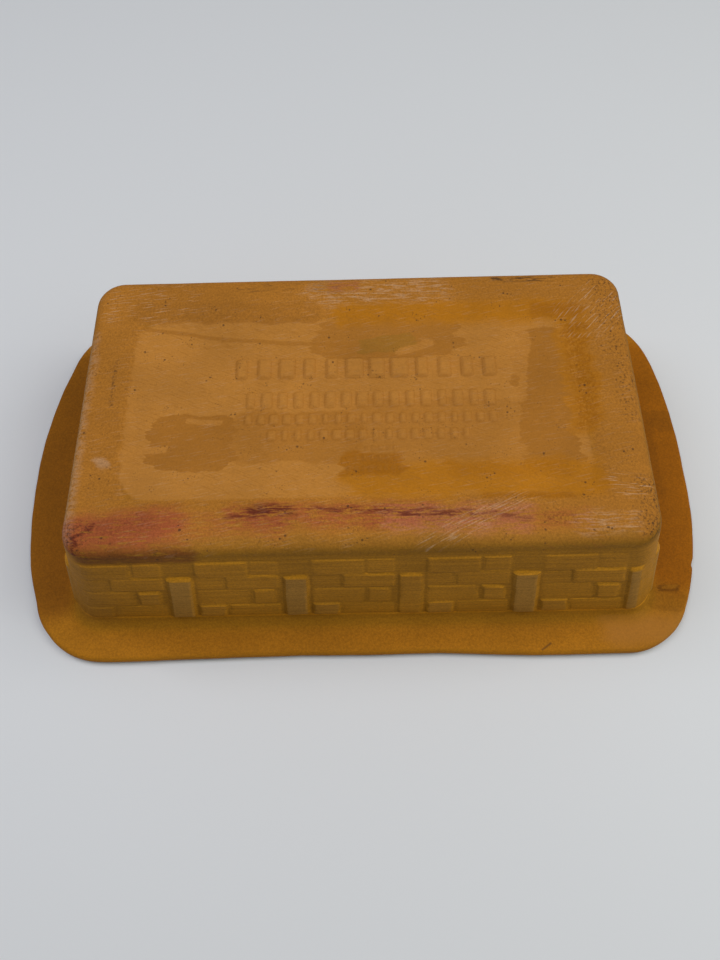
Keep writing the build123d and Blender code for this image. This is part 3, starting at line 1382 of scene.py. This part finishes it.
DISH_STAINS = (
    # the smooth pale skin of the sunk panel
    Stain(Tone.PALE, (-2, -1), (114, 51), 0.9, wander=1.0, roundness=0.3),
    # brown, wetted areas with crisp edges
    Stain(Tone.BROWN, (-70, 55), (50, 6), 0.9, edge=1.5, wander=2.5),
    Stain(Tone.BROWN, (-88, 67), (22, 8), 0.5, edge=5, wander=3),
    Stain(Tone.BROWN, (-92, 42.5), (22, 1.2), 0.8, edge=1, wander=1.0, turn=-10),
    Stain(Tone.BROWN, (-37, 36), (35, 1.3), 0.7, edge=1, wander=1.2, turn=-4),
    Stain(Tone.BROWN, (14, 38), (38, 12), 0.8, edge=1, wander=4),
    Stain(Tone.OLIVE, (15, 34.5), (15, 5), 0.8, edge=1, wander=3, turn=8),
    Stain(Tone.BROWN, (-84, -21.5), (22, 16), 1.0, edge=0.8, wander=3.5),
    Stain(Tone.BROWN, (-33, -19), (34, 14), 0.65, edge=1.5, wander=3.5),
    Stain(Tone.BROWN, (50, -16), (58, 17), 0.45, edge=2.5, wander=4),
    Stain(Tone.OLIVE, (0, -75.5), (128, 4), 0.6, edge=6, wander=3, breakup=0.3),
    Stain(Tone.BROWN, (94, -1), (14, 43), 0.95, edge=1.2, wander=4),
    Stain(Tone.BROWN, (-126, -19.5), (8.5, 16), 0.7, edge=1, wander=2.5),
    Stain(Tone.PALE, (-77.5, -10), (9, 1.5), 0.8, edge=1, wander=1.0, turn=-6),
    Stain(Tone.PALE, (-101, -25), (7, 1.8), 0.8, edge=1, wander=1.5),
    Stain(Tone.PALE, (29, 32.5), (9, 2.6), 0.8, edge=1.2, wander=2, turn=20),
    Stain(Tone.PALE, (67, 41), (18, 1.8), 0.7, edge=1.2, wander=2, turn=6),
    Stain(Tone.PALE, (82, 20), (4.5, 22), 0.7, edge=1.2, wander=1.5, turn=-10),
    Stain(Tone.BROWN, (78.5, 11), (2.2, 3.5), 0.8, edge=1, wander=1, turn=-20),
    # orange, where fat has soaked in
    Stain(Tone.ORANGE, (50, 53), (62, 6.5), 0.85, edge=8, wander=4),
    Stain(Tone.ORANGE, (111, 18), (8.5, 38), 0.6, edge=5, wander=3),
    Stain(Tone.ORANGE, (54, -43), (62, 9.5), 0.85, edge=8, wander=4),
    Stain(Tone.RUST, (72, -38), (30, 4), 0.4, edge=7, wander=4, breakup=0.4, wear=Wear.CLOUDED),
    Stain(Tone.RUST, (112.5, 14), (5.5, 32), 0.9, edge=6, wander=3, breakup=0.47, wear=Wear.CLOUDED),
    Stain(Tone.RUST, (104, 53), (14, 4.5), 0.6, edge=4, wander=2.5),
    Stain(Tone.RUST, (6, -34), (16, 5.5), 0.8, edge=2.5, wander=3, breakup=0.3),
    Stain(Tone.RUST, (78, -52.5), (22, 1.8), 0.6, edge=1.5, wander=1.5),
    # red, along the front of the foot
    Stain(Tone.RED, (-14, -61), (50, 6), 0.75, edge=7, wander=4, breakup=0.46),
    Stain(Tone.PINK, (46, -64), (34, 6.5), 0.75, edge=7, wander=4, breakup=0.46),
    Stain(Tone.RED, (28, -62), (26, 5), 0.6, edge=6, wander=4, breakup=0.5),
    Stain(Tone.RED, (-66, -66), (30, 6), 0.4, edge=8, wander=4, breakup=0.47),
    Stain(Tone.RED, (-114, -67.5), (30, 9), 0.9, edge=12, wander=5, breakup=0.4, turn=4),
    Stain(Tone.DARK_RED, (-118, -66), (20, 4), 0.3, edge=6, breakup=0.5, turn=4, wear=Wear.CLOUDED),
    Stain(Tone.RED, (84, -65), (22, 5), 0.5, edge=7, wander=4, breakup=0.5),
    Stain(Tone.DARK_RED, (-112, -80), (34, 3), 0.55, edge=5, wander=2, breakup=0.4, turn=2, depth=12),
    Stain(Tone.DARK_RED, (-43, -58.5), (11, 2.4), 0.9, edge=4, wander=2.5, breakup=0.47),
    Stain(Tone.DARK_RED, (-54, -61), (12, 1.4), 0.7, edge=2, wander=2, breakup=0.5, turn=8),
    Stain(Tone.DARK_RED, (14, -59.5), (40, 1.6), 0.7, edge=2, wander=2.5, breakup=0.5, turn=-2),
    Stain(Tone.DARK_RED, (45, -62), (34, 1.2), 0.6, edge=2, wander=3, breakup=0.51, turn=-3),
    Stain(Tone.DARK_RED, (10, -62), (70, 6), 0.35, edge=6, wander=3, breakup=0.58, wear=Wear.CLOUDED),
    Stain(Tone.DARK_RED, (92, -65), (8, 3), 0.6, edge=3, wander=1.5, breakup=0.56, wear=Wear.CLOUDED),
    Stain(Tone.DARK_RED, (-130, -69), (8, 1.0), 0.8, edge=1.6, wander=2.2, breakup=0.46, turn=40),
    Stain(Tone.DARK_RED, (-134, -75), (4, 0.9), 0.7, edge=1.4, wander=2.0, breakup=0.42, turn=75),
    # chalky scuffs and scratches
    Stain(Tone.CHALK, (9, 67), (38, 8), 0.35, edge=8, wander=4, breakup=0.55),
    Stain(Tone.RED, (-7, 71), (9, 3), 0.6, edge=4, wander=2, breakup=0.48),
    Stain(Tone.CHALK, (123, 51.5), (18, 14), 0.5, edge=8, breakup=0.66, wear=Wear.SCRATCHED, turn=45),
    Stain(Tone.CHALK, (-112, 62), (28, 12), 0.3, edge=8, breakup=0.64, wear=Wear.SCRATCHED, turn=8),
    Stain(Tone.CHALK, (126, -48), (11, 6), 0.45, edge=6, breakup=0.64, wear=Wear.SCRATCHED, turn=-5),
    Stain(Tone.CHALK, (50, -66), (30, 5), 0.3, edge=6, breakup=0.6, wear=Wear.SCRATCHED, turn=26),
    Stain(Tone.CHALK, (114, -67), (16, 5), 0.35, edge=6, wander=3, breakup=0.54),
    Stain(Tone.CHALK, (-125, -33), (3, 2.6), 0.25, edge=3, wander=2),
    Stain(Tone.CHALK, (-138, -15), (3, 58), 0.25, edge=5, wander=1, breakup=0.46, depth=12),
    Stain(Tone.CHALK, (0, 0), (136, 74), 0.12, edge=6, breakup=0.66, wear=Wear.SCRATCHED, turn=12),
    Stain(Tone.BROWN, (0, 0), (136, 74), 0.5, edge=6, breakup=0.62, wear=Wear.SCRATCHED, turn=-24),
    # soot
    Stain(Tone.SOOT, (-36, 70), (30, 3), 0.6, edge=3, wander=2, breakup=0.6),
    Stain(Tone.SOOT, (88, 73.5), (17, 1.8), 0.85, edge=2, wander=1.0, breakup=0.54),
    Stain(Tone.SOOT, (132, 60), (8, 18), 0.85, edge=8, wander=2, breakup=0.585, wear=Wear.CLOUDED),
    Stain(Tone.SOOT, (133, 12), (5, 26), 0.85, edge=6, wander=2, breakup=0.6, wear=Wear.CLOUDED),
    Stain(Tone.SOOT, (135, -60), (6, 17), 0.85, edge=6, wander=2, breakup=0.57, wear=Wear.CLOUDED),
    Stain(Tone.SOOT, (-124.5, 12), (1.1, 14), 0.6, edge=1.4, wander=0.6, breakup=0.54, wear=Wear.CLOUDED),
    Stain(Tone.SOOT, (-135, -72), (9, 9), 0.8, edge=7, wander=2, breakup=0.59, wear=Wear.CLOUDED),
    # the grey corner of the wall
    Stain(Tone.OLIVE, (-148, -86), (18, 12), 0.6, edge=14, wander=2, height=45, depth=38),
    # the rim: darker ends, wet patches, an open ring and a short stroke
    Stain(Tone.RIM_RIGHT, (186, 5), (27, 84), 0.9, edge=16, height=4, depth=9),
    Stain(Tone.RIM_LEFT, (-186, 0), (27, 88), 0.8, edge=16, height=4, depth=9),
    Stain(Tone.PALE, (160, -99), (30, 8), 0.5, edge=12, wander=3, height=6),
    Stain(Tone.WET, (186, 31), (8, 8), 0.35, edge=1.5, wander=3, height=6),
    Stain(Tone.WET, (174, 8), (5, 30), 0.3, edge=2, wander=1.5, height=6),
    Stain(Tone.WET, (166, -82), (13, 6.5), 0.3, edge=1.5, wander=2, height=6, turn=-12),
    Stain(Tone.WET, (170.2, -75.6), (6.0, 2.2), 0.85, edge=1.6, wander=1.6, height=6, breakup=0.38),
    Stain(Tone.RIM, (171.0, -74.8), (4.0, 1.1), 0.55, edge=1.2, wander=1.6, height=6),
    Stain(Tone.SOOT, (98.7, -107), (3.4, 0.5), 0.6, edge=0.8, wander=0.3, height=6, turn=33),
)

LID_STAINS = (
    Stain(Tone.PALE, (-20, 6), (70, 34), 0.6, edge=5, wander=6, height=38),
    Stain(Tone.BROWN, (60, -18), (44, 20), 0.7, edge=1.5, wander=6, height=38),
    Stain(Tone.ORANGE, (-70, 30), (34, 10), 0.6, edge=6, wander=5, height=38),
)


# ---- sub-assemblies ------------------------------------------------------------------------------


@dataclass
class BakingDish:
    """The upturned baking dish, in millimetres: foot, walls, rim with handle ends, seat and hollow.

    The lengths and widths are halves, and the steps are the mesh's along a long side and across an end.
    """

    height: float = 90.0
    foot: tuple[float, float] = (139.5, 77.5)
    body: tuple[float, float] = (160.0, 91.5)
    corner: float = 14.0
    foot_edge: float = 7.0
    panel_inset: tuple[float, float] = (19.0, 31.0)
    panel_depth: float = 2.0
    grid_half: tuple[float, float] = (98.0, 42.0)
    root: float = 11.0
    rim_thickness: float = 7.0
    rim: Outline = Outline(195.0, 110.0, 42.0, 280.0)
    rim_edge: float = 2.5
    seat: Outline = Outline(157.0, 89.0, 14.0)
    seat_depth: float = 5.0
    wall: float = 8.0
    floor: float = 10.0
    inner_corner: float = 15.0
    inner_fillet: float = 12.0
    steps: tuple[int, int] = (212, 96)
    chip: tuple[float, float] = (189.0, -61.5)
    chip_size: tuple[float, float] = (1.7, 1.4)
    chip_reach: float = 7.0
    stones: StoneWall = field(default_factory=StoneWall)
    ornament: Ornament = field(default_factory=Ornament)
    # how far the handmade rim strays from its outline, as (direction in degrees, distance)
    strays: tuple[tuple[float, float], ...] = (
        (-180, 0.0),
        (-160, 0.4),
        (-152, 0.9),
        (-143, -0.7),
        (-135, -0.4),
        (-125, 1.4),
        (-115, 0.1),
        (-100, -1.0),
        (-90, -0.5),
        (-78, -1.2),
        (-65, 1.2),
        (-52, 0.7),
        (-40, -1.4),
        (-30, -0.2),
        (-20, -0.2),
        (0, -1.4),
        (22, 0.2),
        (34, 1.3),
        (90, -0.8),
        (145, -0.7),
        (165, 0.1),
        (180, 0.0),
    )
    stray_over: float = 14.0
    # the rim's fine ripples, as (distance, waves round the rim, start in degrees)
    ripples: tuple[tuple[float, float, float], ...] = ((0.06, 17, 0), (0.05, 41, 50))
    # the foot's turn about Z and its shift back, from none at the first height to all at the second
    foot_turn: float = 0.5
    foot_shift: float = 0.2
    turn_heights: tuple[float, float] = (15.0, 85.0)

    def _half_at(self, height: float, axis: int) -> float:
        """Half the dish's length or width outside, at a height.

        Args:
            height: The height.
            axis: 0 for the length, 1 for the width.

        Returns:
            The half.
        """
        slope = (self.body[axis] - self.foot[axis]) / self.height
        lean = math.atan(slope)
        edge_height = self.height - self.foot_edge
        if height > edge_height + self.foot_edge * math.sin(lean):
            centre = self.body[axis] - slope * edge_height - self.foot_edge / math.cos(lean)
            return centre + math.sqrt(max(self.foot_edge**2 - (height - edge_height) ** 2, 0.0))
        root_height = self.rim_thickness + self.root
        if height < root_height - self.root * math.sin(lean):
            centre = self.body[axis] - slope * root_height + self.root / math.cos(lean)
            return centre - math.sqrt(max(self.root**2 - (height - root_height) ** 2, 0.0))
        return self.body[axis] - slope * height

    def _outside(self, height: float) -> Outline:
        """The outline of the outside at a height.

        Args:
            height: The height.

        Returns:
            The outline.
        """
        length, width = self._half_at(height, 0), self._half_at(height, 1)
        straight = self.body[0] - (self.body[0] - self.foot[0]) / self.height * height
        return Outline(length, width, max(self.corner + length - straight, 3.0))

    def _inside(self, height: float) -> Outline:
        """The outline of the hollow at a height.

        Args:
            height: The height.

        Returns:
            The outline.
        """
        top = self.height - self.floor
        low = [half - self.wall for half in self.body]
        high = [
            foot + self.floor * (body - foot) / self.height - self.wall
            for foot, body in zip(self.foot, self.body)
        ]
        length, width = (a + (b - a) * height / top for a, b in zip(low, high))
        centre = top - self.inner_fillet
        inset = 0.0
        if height > centre:
            inset = self.inner_fillet - math.sqrt(max(self.inner_fillet**2 - (height - centre) ** 2, 0.0))
        return Outline(length - inset, width - inset, max(self.inner_corner - inset, 3.0))

    def _underside(self, loft: Loft) -> None:
        """Add rings from the middle grid over the sunk panel to the foot's rounded edge.

        Args:
            loft: The loft to add them to.
        """
        foot = Outline(*self.foot, self.corner)
        low, high = self.panel_inset
        panel = self.height - self.panel_depth
        grid = loft.ring(Outline(*self.grid_half, 0.0), panel)
        edge = loft.plan(foot.grown(-high), panel)
        for ring in blend_rings(grid, edge, (0.5,)):
            loft.put(ring)
        for share in np.linspace(0, 1, 9):
            rise = share * share * (3 - 2 * share)
            loft.ring(foot.grown(-high + (high - low) * share), panel + self.panel_depth * rise)
        flat_end = self.foot[0] - self._half_at(self.height, 0)
        for share in np.linspace(0, 1, 7)[1:]:
            loft.ring(foot.grown(-low - (flat_end - low) * share), self.height)

    def _walls(self, loft: Loft) -> None:
        """Add rings over the foot's edge, down the walls and out into the rim.

        Args:
            loft: The loft to add them to.
        """
        last_turn = 12
        for turn in np.linspace(90, last_turn, 9)[1:]:
            height = self.height - self.foot_edge * (1 - math.sin(math.radians(turn)))
            loft.ring(self._outside(height), height)
        top = self.height - self.foot_edge * (1 - math.sin(math.radians(last_turn)))
        bottom = self.rim_thickness + self.root * (1 - math.sin(math.radians(last_turn)))
        for height in np.linspace(top, bottom, 51)[1:]:
            loft.ring(self._outside(height), height)
        for turn in np.linspace(last_turn, 90, 9)[1:]:
            height = self.rim_thickness + self.root * (1 - math.sin(math.radians(turn)))
            loft.ring(self._outside(height), height)

    def _rim(self, loft: Loft) -> None:
        """Add rings over the rim, round its edge and back under it to the seat.

        Args:
            loft: The loft to add them to.
        """
        inner = loft.rings[-1]
        outer = loft.plan(self.rim.grown(-self.rim_edge), self.rim_thickness)
        for ring in blend_rings(inner, outer, np.linspace(0, 1, 11)[1:]):
            loft.put(ring)
        half = self.rim_thickness / 2
        for turn in np.linspace(90, -90, 11)[1:]:
            out = self.rim_edge * math.cos(math.radians(turn))
            loft.ring(self.rim.grown(out - self.rim_edge), half + half * math.sin(math.radians(turn)))
        loft.halve()
        under = loft.plan(self.rim.grown(-self.rim_edge), 0.0)
        mouth = loft.plan(self.seat.grown(0.8), 0.0)
        for ring in blend_rings(under, mouth, np.linspace(0, 1, 5)[1:]):
            loft.put(ring, 0.0)

    def _hollow(self, loft: Loft) -> None:
        """Add rings up the seat and the inner walls to the floor of the dish.

        Args:
            loft: The loft to add them to.
        """
        depth = self.seat_depth
        for grow, height in ((0.25, 0.25), (0.0, 0.8), (0.0, depth - 0.6), (-0.6, depth)):
            loft.ring(self.seat.grown(grow), height, 0.0)
        top = self.height - self.floor
        centre = top - self.inner_fillet
        for height in (self.seat_depth, self.seat_depth + 0.8, *np.linspace(12.0, centre, 7)):
            loft.ring(self._inside(height), height, 0.0)
        for turn in np.linspace(0, 90, 7)[1:]:
            height = centre + self.inner_fillet * math.sin(math.radians(turn))
            loft.ring(self._inside(height), height, 0.0)
        grid = loft.plan(Outline(*self.grid_half, 0.0), top)
        for ring in blend_rings(loft.rings[-1], grid, (0.5, 1.0)):
            loft.put(ring, 0.0)

    def _loosen(self, mesh: bpy.types.Mesh) -> None:
        """Make the shape handmade: the rim strays and has one chip, and the foot is turned a little.

        Args:
            mesh: The dish's mesh.
        """
        points = np.empty(len(mesh.vertices) * 3)
        mesh.vertices.foreach_get("co", points)
        points = points.reshape(-1, 3) / MM
        plan = points[:, :2]
        reach = np.hypot(plan[:, 0] / self.rim.half_length, plan[:, 1] / self.rim.half_width)
        low = points[:, 2] <= self.rim_thickness + 0.1
        body = np.maximum(np.abs(plan[:, 0]) - self.body[0], np.abs(plan[:, 1]) - self.body[1])
        loose = np.clip(body / self.stray_over, 0, 1) * low
        around = np.arctan2(plan[:, 1] / self.rim.half_width, plan[:, 0] / self.rim.half_length)
        around = np.degrees(around)
        stray = np.interp(around, *zip(*self.strays))
        for size, waves, start in self.ripples:
            stray += size * np.sin(np.radians(around * waves + start))
        away = plan / np.maximum(np.hypot(plan[:, 0], plan[:, 1]), 1.0)[:, None]
        plan += away * (stray * loose * np.clip(reach, 0, 1.2))[:, None]
        gap = plan - np.array(self.chip)
        dent = np.exp(-((gap[:, 1] / self.chip_size[0]) ** 2))
        dent *= np.clip(1 - np.abs(gap[:, 0]) / self.chip_reach, 0, 1)
        plan[:, 0] -= dent * self.chip_size[1] * low
        start, end = self.turn_heights
        share = np.clip((points[:, 2] - start) / (end - start), 0, 1)
        plan[:, 1] += (math.radians(self.foot_turn) * plan[:, 0] + self.foot_shift) * share
        mesh.vertices.foreach_set("co", (points * MM).ravel())
        mesh.update()

    def build(self, clay: bpy.types.Material) -> bpy.types.Object:
        """Make the dish.

        Args:
            clay: Its material.

        Returns:
            The piece, riding on its body.
        """
        loft = Loft(*self.steps)
        self._underside(loft)
        self._walls(loft)
        self._rim(loft)
        self._hollow(loft)
        mesh = loft.mesh("baking_dish_clay")
        self._loosen(mesh)
        piece = new_piece("baking_dish_clay", mesh)
        tree = relief_tree("dish relief", self.stones, self.ornament)
        heights = {"Stone height": 0.55, "Ornament height": 2.0}
        bake_nodes(piece, tree, {**heights, "Seed": 3.0, "Material": clay})
        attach(piece, "dish")
        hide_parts("baking_dish")
        return piece


@dataclass
class Lid:
    """The lid under the dish, in millimetres: rim, domed skirt with one course of stones, and waisted grip.

    The lengths and widths are halves, and the steps are the mesh's along a long side and across an end.
    """

    rim: Outline = Outline(155.5, 87.5, 12.5)
    rim_thickness: float = 4.5
    rim_edge: float = 1.5
    skirt: tuple[float, float] = (151.0, 84.0)
    crown: tuple[float, float] = (117.0, 52.0)
    crown_height: float = 38.0
    corner: float = 16.0
    crown_inset: float = 7.15
    crown_fall: float = 4.2
    crown_corner: float = 6.0
    # where the skirt runs out into the rim and the rim rounds under, as (distance out, height)
    skirt_foot: tuple[Span, ...] = ((2.0, 0.9), (3.0, 0.25), (4.0, 0.0))
    rim_foot: tuple[Span, ...] = ((0.0, 0.8), (-0.25, 0.25), (-0.8, 0.0))
    mouth: tuple[float, float] = (143.0, 76.0)
    hollow_top: tuple[float, float] = (113.5, 48.5)
    hollow_corner: float = 10.0
    hollow_edge: float = 9.0
    hollow_knee: float = 0.72
    hollow_grid: tuple[float, float] = (88.0, 30.0)
    thickness: float = 7.0
    grip_top: tuple[float, float] = (52.0, 13.0)
    grip_waist: tuple[float, float] = (44.0, 8.0)
    grip_height: float = 21.0
    grip_edge: float = 5.0
    grip_root: float = 5.0
    grip_grid: tuple[float, float] = (36.0, 2.5)
    steps: tuple[int, int] = (168, 88)
    stones: StoneWall = field(
        default_factory=lambda: StoneWall(course_top=30.5, taper=(0.0059, 0.01))
    )

    def _grip(self, loft: Loft) -> None:
        """Add rings from the grip's top over its rounded edge and down its waist to the crown.

        Args:
            loft: The loft to add them to.
        """
        top = self.crown_height + self.grip_height
        long_half, wide_half = self.grip_top
        loft.ring(Outline(*self.grip_grid, 0.0), top)
        for turn in np.linspace(90, 0, 7):
            inset = self.grip_edge * (1 - math.cos(math.radians(turn)))
            height = top - self.grip_edge * (1 - math.sin(math.radians(turn)))
            loft.ring(round_ended(long_half - inset, wide_half - inset), height)
        waist_end = self.crown_height + self.grip_root
        for share in np.linspace(0, 1, 9)[1:]:
            length, width = (
                high + (low - high) * math.sin(share * math.pi / 2)
                for high, low in zip(self.grip_top, self.grip_waist)
            )
            height = top - self.grip_edge + (waist_end - top + self.grip_edge) * share
            loft.ring(round_ended(length, width), height)
        for turn in np.linspace(0, 90, 7)[1:]:
            out = self.grip_root * (1 - math.cos(math.radians(turn)))
            height = waist_end - self.grip_root * math.sin(math.radians(turn))
            loft.ring(round_ended(*(half + out for half in self.grip_waist)), height)

    def _dome(self, loft: Loft) -> None:
        """Add rings over the crown, its rounded edge, the skirt and the rim.

        Args:
            loft: The loft to add them to.
        """
        crown = Outline(*(half - self.crown_inset for half in self.crown), self.crown_corner)
        start = loft.rings[-1]
        for ring in blend_rings(start, loft.plan(crown, self.crown_height), (0.2, 0.4, 0.6, 0.8, 1.0)):
            loft.put(ring)
        slopes = [(skirt - crown) / self.crown_height for skirt, crown in zip(self.skirt, self.crown)]
        for share in np.linspace(0, 1, 9)[1:]:
            length, width = (
                half - self.crown_inset + (self.crown_inset + slope * self.crown_fall) * share
                for half, slope in zip(self.crown, slopes)
            )
            corner = self.crown_corner + (self.corner - self.crown_corner) * share
            loft.ring(Outline(length, width, corner), self.crown_height - self.crown_fall * share**2)
        top, bottom = self.crown_height - self.crown_fall, self.rim_thickness + 2.0
        for height in np.linspace(top, bottom, 25)[1:]:
            length, width = (skirt - slope * height for skirt, slope in zip(self.skirt, slopes))
            loft.ring(Outline(length, width, self.corner), height)
        for out, height in self.skirt_foot:
            loft.ring(Outline(length + out, width + out, self.corner), self.rim_thickness + height)
        edge = self.rim.grown(-self.rim_edge)
        loft.ring(edge, self.rim_thickness)
        for turn in np.linspace(90, 0, 6)[1:]:
            out = self.rim_edge * math.cos(math.radians(turn))
            height = self.rim_thickness - self.rim_edge * (1 - math.sin(math.radians(turn)))
            loft.ring(self.rim.grown(out - self.rim_edge), height)
        for out, height in self.rim_foot:
            loft.ring(self.rim.grown(out), height)

    def _hollow(self, loft: Loft) -> None:
        """Add rings under the rim and up the hollow to its top.

        Args:
            loft: The loft to add them to.
        """
        loft.halve()
        loft.ring(self.rim.grown(-2.0), 0.0, 0.0)
        loft.ring(Outline(*self.mouth, self.hollow_corner).grown(0.6), 0.0, 0.0)
        top = self.crown_height - self.thickness
        for share in np.linspace(0.03, self.hollow_knee, 9):
            length, width = (a + (b - a) * share for a, b in zip(self.mouth, self.hollow_top))
            loft.ring(Outline(length, width, self.hollow_corner), top * share, 0.0)
        knee = loft.rings[-1]
        inner = Outline(*(half - self.hollow_edge for half in self.hollow_top), 3.0)
        for share in np.linspace(0, 1, 7)[1:]:
            ring = knee + (loft.plan(inner, top) - knee) * share
            rise = math.sin(share * math.pi / 2)
            ring[:, 2] = top * (self.hollow_knee + (1 - self.hollow_knee) * rise)
            loft.put(ring, 0.0)
        grid = loft.plan(Outline(*self.hollow_grid, 0.0), top)
        for ring in blend_rings(loft.rings[-1], grid, (0.5, 1.0)):
            loft.put(ring, 0.0)

    def build(self, clay: bpy.types.Material) -> bpy.types.Object:
        """Make the lid.

        Args:
            clay: Its material.

        Returns:
            The piece, riding on its body.
        """
        loft = Loft(*self.steps)
        self._grip(loft)
        self._dome(loft)
        self._hollow(loft)
        piece = new_piece("lid_clay", loft.mesh("lid_clay"))
        tree = relief_tree("lid relief", self.stones, None)
        bake_nodes(piece, tree, {"Stone height": 0.5, "Unevenness": 0.2, "Seed": 11.0, "Material": clay})
        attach(piece, "lid")
        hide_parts("lid")
        return piece


# ---- the studio ----------------------------------------------------------------------------------


@dataclass(frozen=True)
class SoftLight:
    """One square soft light, aimed at the middle of the floor."""

    name: str
    place: tuple[float, float, float]
    size: float
    power: float
    colour: Colour


@dataclass
class Studio:
    """The plain pale floor, the soft lights and the camera."""

    floor_half: float = 3.0
    floor_height: float = -0.0003
    floor_colour: Colour = (0.755, 0.77, 0.775)
    floor_roughness: float = 0.55
    world_colour: Colour = (0.94, 0.97, 1.0)
    world_strength: float = 0.185
    lights: tuple[SoftLight, ...] = (
        SoftLight("right light", (0.95, 0.15, 1.30), 0.9, 8.2, (1.0, 0.997, 0.978)),
        SoftLight("front light", (1.10, -0.45, 1.20), 0.9, 4.4, (0.98, 1.0, 0.93)),
        SoftLight("left light", (-0.70, 0.20, 1.40), 0.9, 9.5, (0.914, 0.92, 1.0)),
    )
    camera_place: tuple[float, float, float] = (-0.0008, -0.1892, 0.4132)
    camera_down: float = 65.78
    camera_roll: float = -0.93
    lens: float = 28.0
    sensor: float = 36.0

    def build(self) -> None:
        """Make the floor, the lights and the camera."""
        self._floor()
        self._lights()
        self._camera()

    def _floor(self) -> None:
        """The floor that the dish stands on."""
        half = self.floor_half
        corners = [(-half, -half, 0), (half, -half, 0), (half, half, 0), (-half, half, 0)]
        mesh = bpy.data.meshes.new("floor")
        mesh.from_pydata(corners, [], [(0, 1, 2, 3)])
        material = bpy.data.materials.new("floor paint")
        material.use_nodes = True
        shader = material.node_tree.nodes["Principled BSDF"]
        shader.inputs["Base Color"].default_value = (*self.floor_colour, 1.0)
        shader.inputs["Roughness"].default_value = self.floor_roughness
        mesh.materials.append(material)
        floor = new_piece("floor", mesh)
        floor.location.z = self.floor_height

    def _lights(self) -> None:
        """Broad lights on both sides, and an even sky."""
        world = bpy.data.worlds.new("studio")
        world.use_nodes = True
        background = world.node_tree.nodes["Background"]
        background.inputs["Color"].default_value = (*self.world_colour, 1.0)
        background.inputs["Strength"].default_value = self.world_strength
        bpy.context.scene.world = world
        for soft in self.lights:
            light = bpy.data.lights.new(soft.name, "AREA")
            light.size = soft.size
            light.energy = soft.power
            light.color = soft.colour
            lamp = bpy.data.objects.new(soft.name, light)
            lamp.location = soft.place
            lamp.rotation_euler = Vector(soft.place).to_track_quat("Z", "Y").to_euler()
            bpy.context.scene.collection.objects.link(lamp)

    def _camera(self) -> None:
        """The camera, looking steeply down from the front."""
        camera = bpy.data.cameras.new("camera")
        camera.sensor_fit = "VERTICAL"
        camera.sensor_height = self.sensor
        camera.lens = self.lens
        holder = bpy.data.objects.new("camera", camera)
        tilt = Euler((math.radians(90 - self.camera_down), 0, 0)).to_matrix()
        roll = Euler((0, 0, math.radians(self.camera_roll))).to_matrix()
        holder.rotation_euler = (tilt @ roll).to_euler()
        holder.location = self.camera_place
        bpy.context.scene.collection.objects.link(holder)
        bpy.context.scene.camera = holder
        bpy.context.scene.view_settings.view_transform = "Standard"


def main() -> None:
    """Build the pieces and the studio in order."""
    logging.basicConfig(level=logging.INFO)
    groups = ClayGroups()
    clay = DishFinish("dish clay", stains=DISH_STAINS).build(groups)
    pieces = (
        BakingDish().build(clay),
        Lid().build(LidFinish("lid clay", stains=LID_STAINS).build(groups)),
    )
    for piece in pieces:
        triangles = sum(len(face.vertices) - 2 for face in piece.data.polygons)
        LOG.info("%s: %d triangles", piece.name, triangles)
    Studio().build()


if __name__ == "__main__":
    main()
